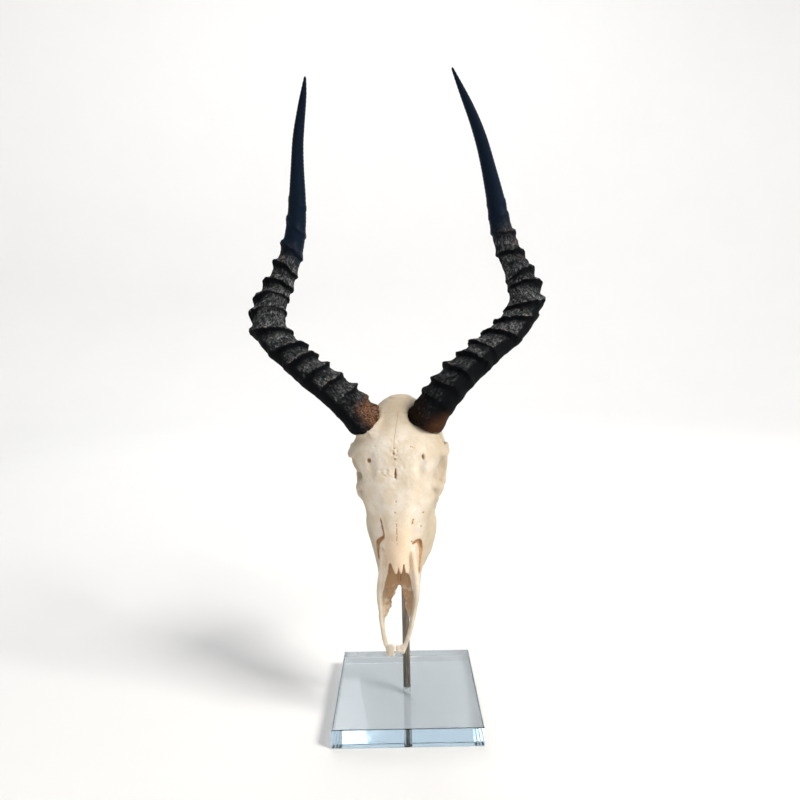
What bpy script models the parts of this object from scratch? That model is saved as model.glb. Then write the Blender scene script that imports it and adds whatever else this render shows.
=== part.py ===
"""An impala skull with its horns, nose down on a steel rod in a square slab of clear acrylic.

Metres, +Z up. The origin is the middle of the slab's underside. The face looks along -Y.
Left and right are those of a viewer who looks at the face, so left is -X.
"""

import math

import bmesh
import bpy
import numpy as np
from mathutils import Matrix, Vector

MM = 0.001
CLEARANCE = 0.3 * MM

# The slab and the rod
SLAB_SIDE = 155 * MM
SLAB_THICKNESS = 20 * MM
SLAB_EDGE_BEVEL = 0.8 * MM
SLAB_SOCKET_DEPTH = 14 * MM
ROD_RADIUS = 4 * MM
ROD_TOP = 288 * MM
ROD_SIDES = 24

# The skull is turned a little about the upright, and its middle stands beside the rod
SKULL_TURN = math.radians(-5.5)
SKULL_SHIFT = -1.5 * MM
SKULL_VOXEL = 1.5 * MM
SKULL_TRIANGLES = 3350
SOFTEN_FACTOR = 0.5
SOFTEN_ROUNDS = 3
CREASE_ANGLE = 50
BODY_RINGS = 60
BODY_SIDES = 56

# Level sections of the skull's body from the muzzle up to the crown, in millimetres: a height, then half an
# outline. Its points are the ridge of the face, the nasal's edge, the ridge's foot, the side wall, the widest
# place, the outer and inner edge of the tooth row, the palate's edge and the palate's middle. Above the teeth
# the last four become the braincase's side, back corner and back.
BODY_SECTIONS = (
    (148, (0, -47), (8, -50), (13, -50), (18, -47), (22, -40),
     (21, -33), (15, -30), (8, -30), (0, -30)),
    (160, (0, -58), (8, -57), (12, -53), (18, -47.5), (22, -39),
     (21, -30), (15, -27), (8, -28), (0, -28)),
    (172, (0, -65.5), (8, -62.5), (11.5, -54), (18, -48), (23.2, -36),
     (21.5, -24), (15.5, -20), (10, -24.5), (0, -25.5)),
    (188, (0, -66.8), (8.4, -63.5), (11.5, -55.5), (18.5, -49), (29, -25),
     (27, -12), (16.5, -11), (11.5, -18), (0, -20)),
    (208, (0, -66.5), (9.5, -63.5), (13, -56.5), (21.5, -49.5), (35, -18),
     (31.5, -5), (17.5, -5), (12.5, -12), (0, -14)),
    (232, (0, -65), (12, -62), (16.5, -57), (26, -50), (35.3, -14),
     (31.5, 2.5), (18, 3), (12.5, -5), (0, -7.5)),
    (247, (0, -63), (14.5, -61), (20, -57), (31, -50), (39.5, -16),
     (30, 3), (16, 3), (11, -1), (0, -3.5)),
    (260, (0, -61.5), (16.5, -60), (23.5, -56.5), (32.5, -49.5), (38, -35),
     (31, -6), (13, 5), (8, 5), (0, 4)),
    (272, (0, -60.5), (18, -59), (26.5, -55.5), (33.5, -49), (37, -38),
     (25, -12), (20, 8), (11, 14), (0, 15)),
    (285, (0, -59.5), (20, -57.5), (30, -54), (39, -47.5), (43.5, -37),
     (27, -12), (26, 12), (15, 26), (0, 29)),
    (299, (0, -58.5), (20, -56.5), (31, -52), (42.5, -44.5), (49, -34),
     (30, -12), (31, 18), (18, 38), (0, 43)),
    (314, (0, -53), (16, -51), (26, -46), (35, -38), (38, -28),
     (31, -8), (32, 18), (19, 39), (0, 44)),
    (328, (0, -43), (11, -41), (20, -35), (26, -27), (29, -16),
     (29, 0), (26, 18), (15, 34), (0, 39)),
    (340, (0, -27), (8, -26), (13, -23), (17, -17), (20, -8),
     (20, 2), (16, 14), (9, 24), (0, 27)),
    (347, (0, -12), (3, -12), (6, -10.5), (8, -8), (10, -3),
     (10, 2), (8, 8), (4, 12), (0, 13)),
)

# Ellipsoids that swell the body, in millimetres: middle and half sizes, each made on both sides
SWELLINGS = (
    ("braincase", (0, 1, 306), (32.5, 44, 43.5)),
    ("condyle", (10, 43, 285), (8.5, 9, 10)),
    ("bulla", (17, 20, 272), (7.5, 10, 9)),
    ("cheek_tuber", (32, -17, 217), (4, 8, 14)),
    ("prong_tip", (4.3, -49, 87), (4.1, 2.6, 5)),
)
BALL_SEGMENTS = 32
PIT_SEGMENTS = 12

# Bars carried along a path, each made on both sides, in millimetres: the points, then the half width and the
# half depth at each point
BARS = {
    "premaxilla": (
        ((14.8, -54, 196), (16.5, -51.5, 178), (18.4, -46.5, 160), (19, -42.5, 144), (17.6, -41.5, 130),
         (15.4, -43.5, 116), (12.8, -45.5, 102), (9.6, -47.3, 92.5), (5, -49, 85.5)),
        (2.2, 3, 3.6, 3.1, 2.7, 2.1, 2.2, 2.8, 4.2),
        (3, 5, 7, 7.5, 6.5, 5, 4, 3, 2.4),
    ),
    "palate_prong": (
        ((7.5, -31, 156), (10, -32.5, 146), (12, -35, 137), (13.6, -38, 128), (16, -40, 119)),
        (7, 8, 7, 5.2, 2.4),
        (3, 3.2, 3, 2.6, 2.2),
    ),
    "cheek_arch": (
        ((31, -14, 230), (37.5, -12, 242), (42, -8, 252), (42, -1, 262), (41, 5, 273), (41, 8, 288),
          (41, 13, 304), (34, 16, 318)),
        (5, 5, 4.3, 5.5, 7, 7, 4.5, 4.5),
        (11, 10.5, 9, 7, 4.8, 4.6, 4.6, 6),
    ),
    "orbit_roof": (
        ((44.5, -37, 295), (48.6, -27, 294.5), (49, -13, 295.5), (45, 4, 293)),
        (3.4, 2.8, 2.5, 3.4),
        (7, 6, 5.5, 6),
    ),
    "orbit_floor": (
        ((35, -40, 263), (40, -32, 259), (42.6, -21, 257.5), (43, -6, 258)),
        (3.5, 3.4, 3.2, 3.2),
        (5.5, 6, 6, 6),
    ),
    "pterygoid": (
        ((13, -3, 228), (11.5, 3, 243), (10.5, 8, 256), (12, 12, 268)),
        (1.8, 1.4, 1.4, 3),
        (5, 6, 5, 4),
    ),
    "paroccipital": (
        ((25, 33, 296), (26, 34, 280), (24.5, 32, 266), (23.5, 30, 258)),
        (6, 4, 2.8, 1.6),
        (6, 4.5, 3, 1.6),
    ),
    "nuchal_crest": (
        ((0, 41, 332), (10, 40.5, 331), (20, 38, 325), (28, 32, 315), (31, 27, 304)),
        (3.5, 3, 2.8, 2.6, 2),
        (4.5, 4.2, 4, 3.5, 2.5),
    ),
}
BAR_SIDES = 14
BAR_STEPS = 5
SLIT_SIDES = 6
SLIT_STEPS = 2
# A bar's depth lies along this direction, and its width square to that
BAR_FACING = (0, 1, 0.3)

# What is cut away, in millimetres: middle and half sizes
ORBIT = ((50, -16.5, 275.5), (25, 18.5, 16.5))
TEMPLE = ((40, -8, 314), (10, 20, 9))
FORAMEN_MAGNUM = ((0, 52, 298), (9, 24, 8.5))
BROW_PIT = ((26, -55.5, 290), (1.8, 3, 2.4))
NASAL_NOTCH = ((6.3, -66, 180), (1.5, 7, 5.5))
# The open nose in front of the nasals' tips, and the tunnel that runs up under them
NOSE_OPENING = ((178, 9.5, -52), (168, 13.5, -44), (156, 15, -38), (140, 15.5, -33))
NOSE_TUNNEL = (
    ((0, -43, 140), (0, -45, 160), (0, -48, 180), (0, -46, 200), (0, -42, 218)),
    (15, 14.5, 12, 9, 5),
    (10, 11, 9.5, 8, 4),
)
NOSE_FLOOR_ROUND = 10
NOSE_FRONT = -90
# The gap between the nasal side and the cheek bone, on both sides
FISSURE = (
    ((14, -54, 224), (15, -53, 215), (19.5, -50, 210), (21.3, -46.5, 200), (21.6, -44.5, 188),
     (20.6, -45, 174)),
    (0.8, 1, 1.3, 1.3, 1.1, 0.7),
    (3, 4, 5, 5, 4, 3),
)
# The open slit in the suture of the brow, and the thin gap between the prongs' tips
BROW_SLIT = (((0, -61, 280), (0, -61.5, 271), (0, -62.2, 262)), (0.8, 1.3, 0.9), (1.5, 2.4, 1.5))
PRONG_GAP = (((0, -49, 76), (0, -49, 88), (0, -49, 100)), (0.4, 0.4, 0.4), (8, 8, 8))
# The muzzle leans to the left below this height, in millimetres, by this share of the drop
MUZZLE_LEAN_FROM = 170
MUZZLE_LEAN = 0.065

# The cheek teeth: heights of their middles, lengths along the row and widths across it, in millimetres
TOOTH_ROW = (
    (168.5, 7.5, 6.5),
    (177.0, 8.5, 8.0),
    (186.5, 9.5, 9.5),
    (197.5, 11.5, 12.0),
    (210.5, 13.5, 13.5),
    (225.0, 14.5, 13.5),
)
TOOTH_HEIGHT = 9 * MM
TOOTH_ROOT = 4 * MM
TOOTH_SIDES = 10
# Molars longer than this have two lobes, whose waist is this share narrower
LOBED_LENGTH = 10 * MM
LOBE_SHARE = 0.10
# A crown's sizes at its root, at the jaw, near its top and on its worn top, as shares of its outline
CROWN_SCALES = (0.86, 1.0, 0.96, 0.72)
SHOULDER_SHARE = 0.7
ROW_LOW = (168 * MM, 18.3 * MM, -22 * MM)
ROW_HIGH = (228 * MM, 25 * MM, 1.5 * MM)

# Middle lines of the horns in world coordinates and millimetres, from the brow to the tip
HORN_PATHS = {
    "left": (
        (-35.6, -30, 326), (-50, -36, 344.5), (-67, -37, 361.5), (-88, -32, 377.5), (-107, -23, 392.5),
        (-124.5, -12, 406.5), (-137, 0, 422), (-140.3, 11, 439), (-137, 20, 456.5), (-130, 27, 474),
        (-123.3, 32, 492), (-117, 36, 511.5), (-112.5, 37, 535), (-109.8, 35, 562.5), (-107.5, 30, 593),
        (-104.4, 21, 621.5), (-98.9, 11, 646.5), (-90.2, -7, 674.7),
    ),
    "right": (
        (23.4, -30, 322), (33.2, -36, 341.5), (45.5, -37, 358.7), (59.3, -32, 373.8), (75.7, -23, 387.3),
        (94.8, -12, 401.6), (114.7, 0, 415.7), (129, 11, 431.5), (136.7, 20, 449), (135.3, 27, 468.7),
        (129.1, 32, 488.8), (121.1, 36, 509), (113.6, 37, 533), (108.4, 35, 558), (100.2, 30, 586.7),
        (89.5, 21, 619.5), (77, 11, 648.7), (57.7, -7, 680.3),
    ),
}
# Where each ring of a horn stands, in millimetres from its foot along the middle line
HORN_RINGS = {
    "left": (21, 35, 52, 69, 87, 105, 127, 151, 171, 189, 206, 224, 245, 264),
    "right": (17, 30, 45, 64, 82, 99, 116, 134, 153, 170, 187, 204, 221, 240, 262),
}
# The horn's radius between its rings, in millimetres: places as shares of its length, then radii
HORN_RADIUS_AT = (0, 0.06, 0.25, 0.40, 0.48, 0.56, 0.64, 0.75, 0.86, 0.95, 1)
HORN_RADIUS = (19.0, 18.6, 15.8, 15.2, 13.6, 10.8, 9.4, 7.6, 5.5, 3.2, 1.0)
RING_HEIGHT = 3.0 * MM
RING_RISE = 0.80
HORN_SIDES = 14
SHEATH_CUP_DEPTH = 11 * MM
SHEATH_WALL = 4.5 * MM
PEDICLE_SINK = 16 * MM
# How the brow swells under each horn: drops below its foot in millimetres, and shares of the foot's radius
ROOT_TAPER = ((22, 0.5), (12, 0.88), (4, 1.0), (-1, 0.96))

BONE = (0.80, 0.70, 0.56)
HORN = (0.035, 0.030, 0.028)
ENAMEL = (0.78, 0.70, 0.55)
STEEL = (0.38, 0.35, 0.32)
ACRYLIC = (0.86, 0.92, 0.95)


def clear_scene():
    for thing in list(bpy.data.objects):
        bpy.data.objects.remove(thing, do_unlink=True)


def material(name, colour, roughness, metallic=0.0, transmission=0.0):
    made = bpy.data.materials.new(name)
    made.use_nodes = True
    shader = made.node_tree.nodes["Principled BSDF"]
    shader.inputs["Base Color"].default_value = (*colour, 1)
    shader.inputs["Roughness"].default_value = roughness
    shader.inputs["Metallic"].default_value = metallic
    shader.inputs["Transmission Weight"].default_value = transmission
    return made


def smooth_line(knots, values, at):
    """The smooth curve through the values at the knots, read at the places in at."""
    knots = np.asarray(knots, float)
    values = np.asarray(values, float)
    slopes = np.gradient(values, knots, axis=0)
    cell = np.clip(np.searchsorted(knots, at) - 1, 0, len(knots) - 2)
    span = knots[cell + 1] - knots[cell]
    t = (at - knots[cell]) / span
    shape = (-1,) + (1,) * (values.ndim - 1)
    t = t.reshape(shape)
    span = span.reshape(shape)
    start = (1 + 2 * t) * (1 - t) ** 2 * values[cell] + t * (1 - t) ** 2 * span * slopes[cell]
    end = t**2 * (3 - 2 * t) * values[cell + 1] + t**2 * (t - 1) * span * slopes[cell + 1]
    return start + end


def lengths_along(points):
    """Distance from the first point to each point."""
    steps = np.linalg.norm(np.diff(points, axis=0), axis=1)
    return np.concatenate([[0], np.cumsum(steps)])


def add_loft(target, rings, closed_ends=True):
    """Adds a skin through the rings, an array of ring, point, coordinate, to the bmesh."""
    rows = [[target.verts.new(point) for point in ring] for ring in rings]
    for low, high in zip(rows, rows[1:]):
        for i in range(len(low)):
            after = (i + 1) % len(low)
            target.faces.new((low[i], low[after], high[after], high[i]))
    if closed_ends:
        target.faces.new(reversed(rows[0]))
        target.faces.new(rows[-1])
    return [vert for row in rows for vert in row]


def add_ellipsoid(target, middle, half_sizes, segments=BALL_SEGMENTS):
    place = Matrix.LocRotScale(Vector(middle) * MM, None, Vector(half_sizes) * MM)
    bmesh.ops.create_uvsphere(target, u_segments=segments, v_segments=segments // 2, radius=1, matrix=place)


def sweep_rings(points, half_widths, half_depths, sides, steps):
    """Rings of a bar: an ellipse carried along the points, its width square to the facing direction."""
    points = np.asarray(points, float)
    knots = lengths_along(points)
    at = np.linspace(0, knots[-1], (len(points) - 1) * steps + 1)
    line = smooth_line(knots, points, at)
    width = smooth_line(knots, half_widths, at)
    depth = smooth_line(knots, half_depths, at)
    along = np.gradient(line, at, axis=0)
    along /= np.linalg.norm(along, axis=1)[:, None]
    side = np.cross(along, BAR_FACING)
    side /= np.linalg.norm(side, axis=1)[:, None]
    out = np.cross(side, along)
    turn = np.linspace(0, 2 * math.pi, sides, endpoint=False)
    around = np.cos(turn)[None, :, None] * side[:, None] * width[:, None, None]
    around = around + np.sin(turn)[None, :, None] * out[:, None] * depth[:, None, None]
    return line[:, None] + around


def new_object(name, shape, finish, parent=None):
    """Turns the bmesh into an object with outward faces."""
    bmesh.ops.recalc_face_normals(shape, faces=shape.faces)
    mesh = bpy.data.meshes.new(name)
    shape.to_mesh(mesh)
    shape.free()
    mesh.shade_smooth()
    thing = bpy.data.objects.new(name, mesh)
    bpy.context.scene.collection.objects.link(thing)
    thing.parent = parent
    if finish:
        mesh.materials.append(finish)
    return thing


def helper(thing):
    """Marks an object as a cutter or a joiner, which isn't part of the model."""
    thing.hide_render = True
    thing.display_type = "WIRE"
    return thing


def add_boolean(target, other, operation):
    change = target.modifiers.new(f"{operation.lower()}_{other.name}", "BOOLEAN")
    change.operation = operation
    change.solver = "EXACT"
    change.object = other


def apply_modifiers(thing):
    """Replaces the object's mesh by the evaluated one."""
    bpy.context.view_layer.update()
    graph = bpy.context.evaluated_depsgraph_get()
    mesh = bpy.data.meshes.new_from_object(thing.evaluated_get(graph))
    thing.modifiers.clear()
    thing.data = mesh


def body_rings():
    """Level rings of the skull's body, through the sections and mirrored to both sides."""
    heights = np.array([row[0] for row in BODY_SECTIONS], float)
    outlines = np.array([row[1:] for row in BODY_SECTIONS], float)
    at = np.linspace(heights[0], heights[-1], BODY_RINGS)
    halves = smooth_line(heights, outlines, at)
    mirrored = halves[:, -2:0:-1] * (-1, 1)
    closed = np.concatenate([halves, mirrored, halves[:, :1]], axis=1)
    rings = []
    for height, outline in zip(at, closed):
        knots = lengths_along(outline)
        wrapped = np.concatenate([outline[-2:-1], outline, outline[1:2]])
        wrapped_knots = np.concatenate([[knots[-2] - knots[-1]], knots, [knots[-1] + knots[1]]])
        places = np.linspace(0, knots[-1], BODY_SIDES, endpoint=False)
        ring = smooth_line(wrapped_knots, wrapped, places)
        rings.append(np.column_stack([ring, np.full(BODY_SIDES, height)]))
    return np.array(rings) * MM


def both_sides(points):
    """The points, and the points mirrored."""
    points = np.asarray(points, float)
    return points, points * (-1, 1, 1)


def add_bar(target, path, half_widths, half_depths, sides=BAR_SIDES, steps=BAR_STEPS):
    rings = sweep_rings(path, half_widths, half_depths, sides, steps)
    add_loft(target, rings * MM)


def lean_muzzle(target):
    for vert in target.verts:
        drop = max(0, MUZZLE_LEAN_FROM * MM - vert.co.z)
        vert.co.x -= MUZZLE_LEAN * drop


def skull_mass(parent):
    """Every lump and bar of the skull as one mesh of closed skins, which the voxel remesh fuses."""
    shape = bmesh.new()
    add_loft(shape, body_rings())
    for _, middle, half_sizes in SWELLINGS:
        for place in both_sides(middle):
            add_ellipsoid(shape, place, half_sizes)
    for points, half_widths, half_depths in BARS.values():
        for path in both_sides(points):
            add_bar(shape, path, half_widths, half_depths)
    lean_muzzle(shape)
    for side in HORN_PATHS:
        add_loft(shape, in_frame_of(parent, horn_root_rings(side)))
    return new_object("skull", shape, None, parent)


def in_frame_of(parent, rings):
    """World points read in the frame of the object that carries the bone."""
    back = np.array(parent.matrix_world.inverted())
    return rings @ back[:3, :3].T + back[:3, 3]


def horn_root_rings(side):
    """The swelling of the brow under a horn, as wide as its foot and tapered into the bone."""
    form = HornShape(side)
    foot = form.surface_rings(np.array([0.0]), np.array([HORN_RADIUS[0] * MM]))
    down = form.line(np.array([0.0])) - form.line(np.array([1 * MM]))
    down /= np.linalg.norm(down)
    middle = form.line(np.array([0.0]))[:, None]
    return np.concatenate(
        [middle + (foot - middle) * scale + down * drop * MM for drop, scale in ROOT_TAPER]
    )


def fuse(thing, voxel):
    fused = thing.modifiers.new("fuse", "REMESH")
    fused.mode = "VOXEL"
    fused.voxel_size = voxel
    fused.use_smooth_shade = True
    apply_modifiers(thing)


def ellipsoid_cutter(name, middles, half_sizes, parent, segments=BALL_SEGMENTS):
    shape = bmesh.new()
    for middle in middles:
        add_ellipsoid(shape, middle, half_sizes, segments)
    return helper(new_object(name, shape, None, parent))


def nose_cutter(parent):
    """The open nose: a block with a rounded floor below the nasals' tips, cut from the front."""
    rings = []
    for height, half_width, floor in NOSE_OPENING:
        turn = np.linspace(0, math.pi, BAR_SIDES)
        depth = floor - NOSE_FLOOR_ROUND + NOSE_FLOOR_ROUND * np.sin(turn)
        arc = np.column_stack([half_width * np.cos(turn), depth])
        outline = np.concatenate([arc, [(-half_width, NOSE_FRONT), (half_width, NOSE_FRONT)]])
        rings.append(np.column_stack([outline, np.full(len(outline), height)]))
    shape = bmesh.new()
    add_loft(shape, np.array(rings) * MM)
    lean_muzzle(shape)
    return helper(new_object("nose_cutter", shape, None, parent))


def nose_tunnel_cutter(parent):
    shape = bmesh.new()
    add_bar(shape, *NOSE_TUNNEL)
    lean_muzzle(shape)
    return helper(new_object("nose_tunnel_cutter", shape, None, parent))


def slit_cutter(name, paths, half_widths, half_depths, parent):
    """Thin bars, coarser than those that build the bone, that cut slits of their own shape."""
    shape = bmesh.new()
    for path in paths:
        add_bar(shape, path, half_widths, half_depths, SLIT_SIDES, SLIT_STEPS)
    lean_muzzle(shape)
    return helper(new_object(name, shape, None, parent))


def rod_hole_cutter():
    shape = bmesh.new()
    depth = ROD_TOP + CLEARANCE
    low = 200 * MM
    place = Matrix.Translation((0, 0, (low + depth) / 2))
    bmesh.ops.create_cone(
        shape,
        cap_ends=True,
        segments=ROD_SIDES,
        radius1=ROD_RADIUS + CLEARANCE,
        radius2=ROD_RADIUS + CLEARANCE,
        depth=depth - low,
        matrix=place,
    )
    return helper(new_object("rod_hole_cutter", shape, None))


class HornShape:
    """The middle line of one horn with its frames and radius, from the foot to the tip."""

    def __init__(self, side):
        points = np.array(HORN_PATHS[side], float) * MM
        self.knots = lengths_along(points)
        self.points = points
        self.length = self.knots[-1]
        self.rings = np.array(HORN_RINGS[side], float) * MM

    def line(self, at):
        return smooth_line(self.knots, self.points, at)

    def frames(self, at):
        step = 1 * MM
        low = self.line(np.clip(at - step, 0, self.length))
        high = self.line(np.clip(at + step, 0, self.length))
        along = high - low
        along /= np.linalg.norm(along, axis=1)[:, None]
        side = np.cross(along, (0, 1, 0))
        side /= np.linalg.norm(side, axis=1)[:, None]
        return side, np.cross(side, along)

    def core_radius(self, at):
        share = np.clip(at, 0, self.length) / self.length
        return smooth_line(HORN_RADIUS_AT, HORN_RADIUS, share) * MM

    def ring_stations(self):
        """Places along the horn, and how far the surface stands out there: up to each lip, then back in."""
        places = [0.0]
        heights = [0.0]
        foot = 0.0
        for lip in self.rings:
            rise = foot + (lip - foot) * RING_RISE
            places += [rise, lip, lip + 1.2 * MM]
            heights += [0.45, 1.0, 0.0]
            foot = lip
        places = np.array(places)
        heights = np.array(heights) * RING_HEIGHT
        fade = np.interp(places, (0, 0.5 * self.length, 0.62 * self.length), (1, 1, 0.45))
        smooth = np.linspace(self.rings[-1] + 14 * MM, self.length, 10)
        return np.concatenate([places, smooth]), np.concatenate([heights * fade, np.zeros(10)])

    def surface_rings(self, at, radius):
        side, out = self.frames(at)
        turn = np.linspace(0, 2 * math.pi, HORN_SIDES, endpoint=False)
        around = np.cos(turn)[None, :, None] * side[:, None] + np.sin(turn)[None, :, None] * out[:, None]
        return self.line(at)[:, None] + around * radius[:, None, None]


def horn(side, finish):
    """A ringed sheath: its skin to the tip, and a cup in its foot."""
    form = HornShape(side)
    at, stand_out = form.ring_stations()
    skin = form.surface_rings(at, form.core_radius(at) + stand_out)
    cup_at = np.array([SHEATH_CUP_DEPTH, SHEATH_CUP_DEPTH / 2, 0])
    cup = form.surface_rings(cup_at, form.core_radius(cup_at) - SHEATH_WALL)
    shape = bmesh.new()
    add_loft(shape, np.concatenate([cup, skin]))
    return new_object(f"horn_{side}", shape, finish)


def horn_clearance(side):
    """The horn's foot grown by the clearance, to cut the bone back from the sheath."""
    form = HornShape(side)
    at, stand_out = form.ring_stations()
    near = at < 60 * MM
    at = at[near]
    radius = form.core_radius(at) + stand_out[near] + CLEARANCE
    rings = form.surface_rings(at, radius)
    below = form.line(np.array([0.0])) - form.line(np.array([1 * MM]))
    below /= np.linalg.norm(below)
    rings[0] += below * CLEARANCE
    shape = bmesh.new()
    add_loft(shape, rings)
    return helper(new_object(f"horn_clearance_{side}", shape, None))


def pedicle(side):
    """The stump of bone that fills the sheath's cup."""
    form = HornShape(side)
    top = SHEATH_CUP_DEPTH - CLEARANCE
    at = np.array([0, top / 2, top])
    radius = form.core_radius(at) - SHEATH_WALL - CLEARANCE
    rings = form.surface_rings(at, radius)
    first = form.surface_rings(np.array([0.0]), radius[:1])
    down = form.line(np.array([0.0])) - form.line(np.array([1 * MM]))
    down /= np.linalg.norm(down)
    sunk = first + down * PEDICLE_SINK
    shape = bmesh.new()
    add_loft(shape, np.concatenate([sunk, rings]))
    return helper(new_object(f"pedicle_{side}", shape, None))


def row_place(height):
    """The middle of the tooth row at a height: across and back."""
    share = (height - ROW_LOW[0]) / (ROW_HIGH[0] - ROW_LOW[0])
    across = ROW_LOW[1] + (ROW_HIGH[1] - ROW_LOW[1]) * share
    back = ROW_LOW[2] + (ROW_HIGH[2] - ROW_LOW[2]) * share
    return across, back


def tooth_rings(height, length, width, grow=0.0):
    """Rings of a crown with two lobes, from its root in the jaw to its worn top."""
    across, back = row_place(height)
    slope = (ROW_HIGH[2] - ROW_LOW[2]) / (ROW_HIGH[0] - ROW_LOW[0])
    turn = np.linspace(0, 2 * math.pi, TOOTH_SIDES, endpoint=False)
    lobes = 1 + LOBE_SHARE * np.cos(2 * turn) * (length > LOBED_LENGTH)
    outline = np.column_stack([np.cos(turn) * width / 2, np.sin(turn) * length / 2 * lobes])
    levels = (-TOOTH_ROOT - grow, 0, TOOTH_HEIGHT * SHOULDER_SHARE, TOOTH_HEIGHT)
    rings = []
    for level, scale in zip(levels, CROWN_SCALES):
        ring = outline * scale
        ring = ring * (1 + grow / (np.linalg.norm(ring, axis=1)[:, None]))
        depth = back + level + slope * ring[:, 1]
        rings.append(np.column_stack([across + ring[:, 0], depth, height + ring[:, 1]]))
    return np.array(rings)


def sided(rings, side):
    return rings * ((-1, 1, 1) if side == "left" else (1, 1, 1))


def teeth(finish, parent):
    for side in ("left", "right"):
        for number, (height, length, width) in enumerate(TOOTH_ROW, 1):
            shape = bmesh.new()
            add_loft(shape, sided(tooth_rings(height * MM, length * MM, width * MM), side))
            new_object(f"tooth_{side}_{number}", shape, finish, parent)


def socket_cutter(parent):
    """The sockets: every tooth, grown by the clearance."""
    shape = bmesh.new()
    for side in ("left", "right"):
        for height, length, width in TOOTH_ROW:
            rings = tooth_rings(height * MM, length * MM, width * MM, CLEARANCE)
            add_loft(shape, sided(rings, side))
    return helper(new_object("socket_cutter", shape, None, parent))


def skull(finish, parent):
    """One bone: fused, hollowed, smoothed and thinned, then fitted to the horns, the teeth and the rod."""
    bone = skull_mass(parent)
    fuse(bone, SKULL_VOXEL)
    for cutter in (
        ellipsoid_cutter("orbit_cutter", both_sides(ORBIT[0]), ORBIT[1], parent),
        ellipsoid_cutter("temple_cutter", both_sides(TEMPLE[0]), TEMPLE[1], parent),
        ellipsoid_cutter("foramen_cutter", (FORAMEN_MAGNUM[0],), FORAMEN_MAGNUM[1], parent),
        nose_cutter(parent),
        nose_tunnel_cutter(parent),
    ):
        add_boolean(bone, cutter, "DIFFERENCE")
    apply_modifiers(bone)
    fuse(bone, SKULL_VOXEL)
    soften = bone.modifiers.new("soften", "SMOOTH")
    soften.factor = SOFTEN_FACTOR
    soften.iterations = SOFTEN_ROUNDS
    apply_modifiers(bone)
    thin = bone.modifiers.new("thin", "DECIMATE")
    thin.ratio = SKULL_TRIANGLES / (2 * len(bone.data.polygons))
    apply_modifiers(bone)
    for side in ("left", "right"):
        add_boolean(bone, horn_clearance(side), "DIFFERENCE")
        add_boolean(bone, pedicle(side), "UNION")
    for cutter in (
        slit_cutter("fissure_cutter", both_sides(FISSURE[0]), *FISSURE[1:], parent),
        slit_cutter("brow_slit_cutter", BROW_SLIT[:1], *BROW_SLIT[1:], parent),
        slit_cutter("prong_gap_cutter", PRONG_GAP[:1], *PRONG_GAP[1:], parent),
        ellipsoid_cutter("brow_pit_cutter", both_sides(BROW_PIT[0]), BROW_PIT[1], parent, PIT_SEGMENTS),
        ellipsoid_cutter("notch_cutter", both_sides(NASAL_NOTCH[0]), NASAL_NOTCH[1], parent, PIT_SEGMENTS),
        socket_cutter(parent),
        rod_hole_cutter(),
    ):
        add_boolean(bone, cutter, "DIFFERENCE")
    apply_modifiers(bone)
    bone.data.set_sharp_from_angle(angle=math.radians(CREASE_ANGLE))
    bone.data.materials.clear()
    bone.data.materials.append(finish)


def rod(finish):
    shape = bmesh.new()
    foot = SLAB_THICKNESS - SLAB_SOCKET_DEPTH + CLEARANCE
    bmesh.ops.create_cone(
        shape,
        cap_ends=True,
        segments=ROD_SIDES,
        radius1=ROD_RADIUS,
        radius2=ROD_RADIUS,
        depth=ROD_TOP - foot,
        matrix=Matrix.Translation((0, 0, (ROD_TOP + foot) / 2)),
    )
    made = new_object("rod", shape, finish)
    made.data.set_sharp_from_angle(angle=math.radians(40))


def base(finish):
    """A square block with polished edges and a blind hole for the rod."""
    shape = bmesh.new()
    place = Matrix.LocRotScale(
        (0, 0, SLAB_THICKNESS / 2), None, Vector((SLAB_SIDE, SLAB_SIDE, SLAB_THICKNESS))
    )
    bmesh.ops.create_cube(shape, size=1, matrix=place)
    bmesh.ops.bevel(
        shape, geom=shape.edges[:], offset=SLAB_EDGE_BEVEL, segments=2, profile=0.5, affect="EDGES"
    )
    slab = new_object("base", shape, finish)
    slab.data.set_sharp_from_angle(angle=math.radians(20))
    hole = bmesh.new()
    bmesh.ops.create_cone(
        hole,
        cap_ends=True,
        segments=ROD_SIDES,
        radius1=ROD_RADIUS + CLEARANCE,
        radius2=ROD_RADIUS + CLEARANCE,
        depth=2 * SLAB_SOCKET_DEPTH,
        matrix=Matrix.Translation((0, 0, SLAB_THICKNESS)),
    )
    add_boolean(slab, helper(new_object("rod_socket_cutter", hole, None)), "DIFFERENCE")


def main():
    clear_scene()
    turned = bpy.data.objects.new("skull_place", None)
    bpy.context.scene.collection.objects.link(turned)
    turned.location = (SKULL_SHIFT, 0, 0)
    turned.rotation_euler = (0, 0, SKULL_TURN)
    bpy.context.view_layer.update()
    skull(material("bone", BONE, 0.6), turned)
    teeth(material("enamel", ENAMEL, 0.35), turned)
    sheath = material("horn_sheath", HORN, 0.55)
    horn("left", sheath)
    horn("right", sheath)
    rod(material("steel", STEEL, 0.3, metallic=1.0))
    base(material("acrylic", ACRYLIC, 0.02, transmission=1.0))


main()
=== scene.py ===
"""The looks of an impala skull with its horns, nose down on a steel rod in a square slab of clear acrylic.

Metres, +Z up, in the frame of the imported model. The face looks along -Y, and left is -X.
Shapes of the bone are written in millimetres in the skull's own frame, which is turned a little about the
upright; the horns are written in millimetres in the model's frame.
"""

import math
from itertools import product

import bpy
import numpy as np
from bpy.props import FloatProperty, FloatVectorProperty, PointerProperty
from mathutils import Matrix, Vector


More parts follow.
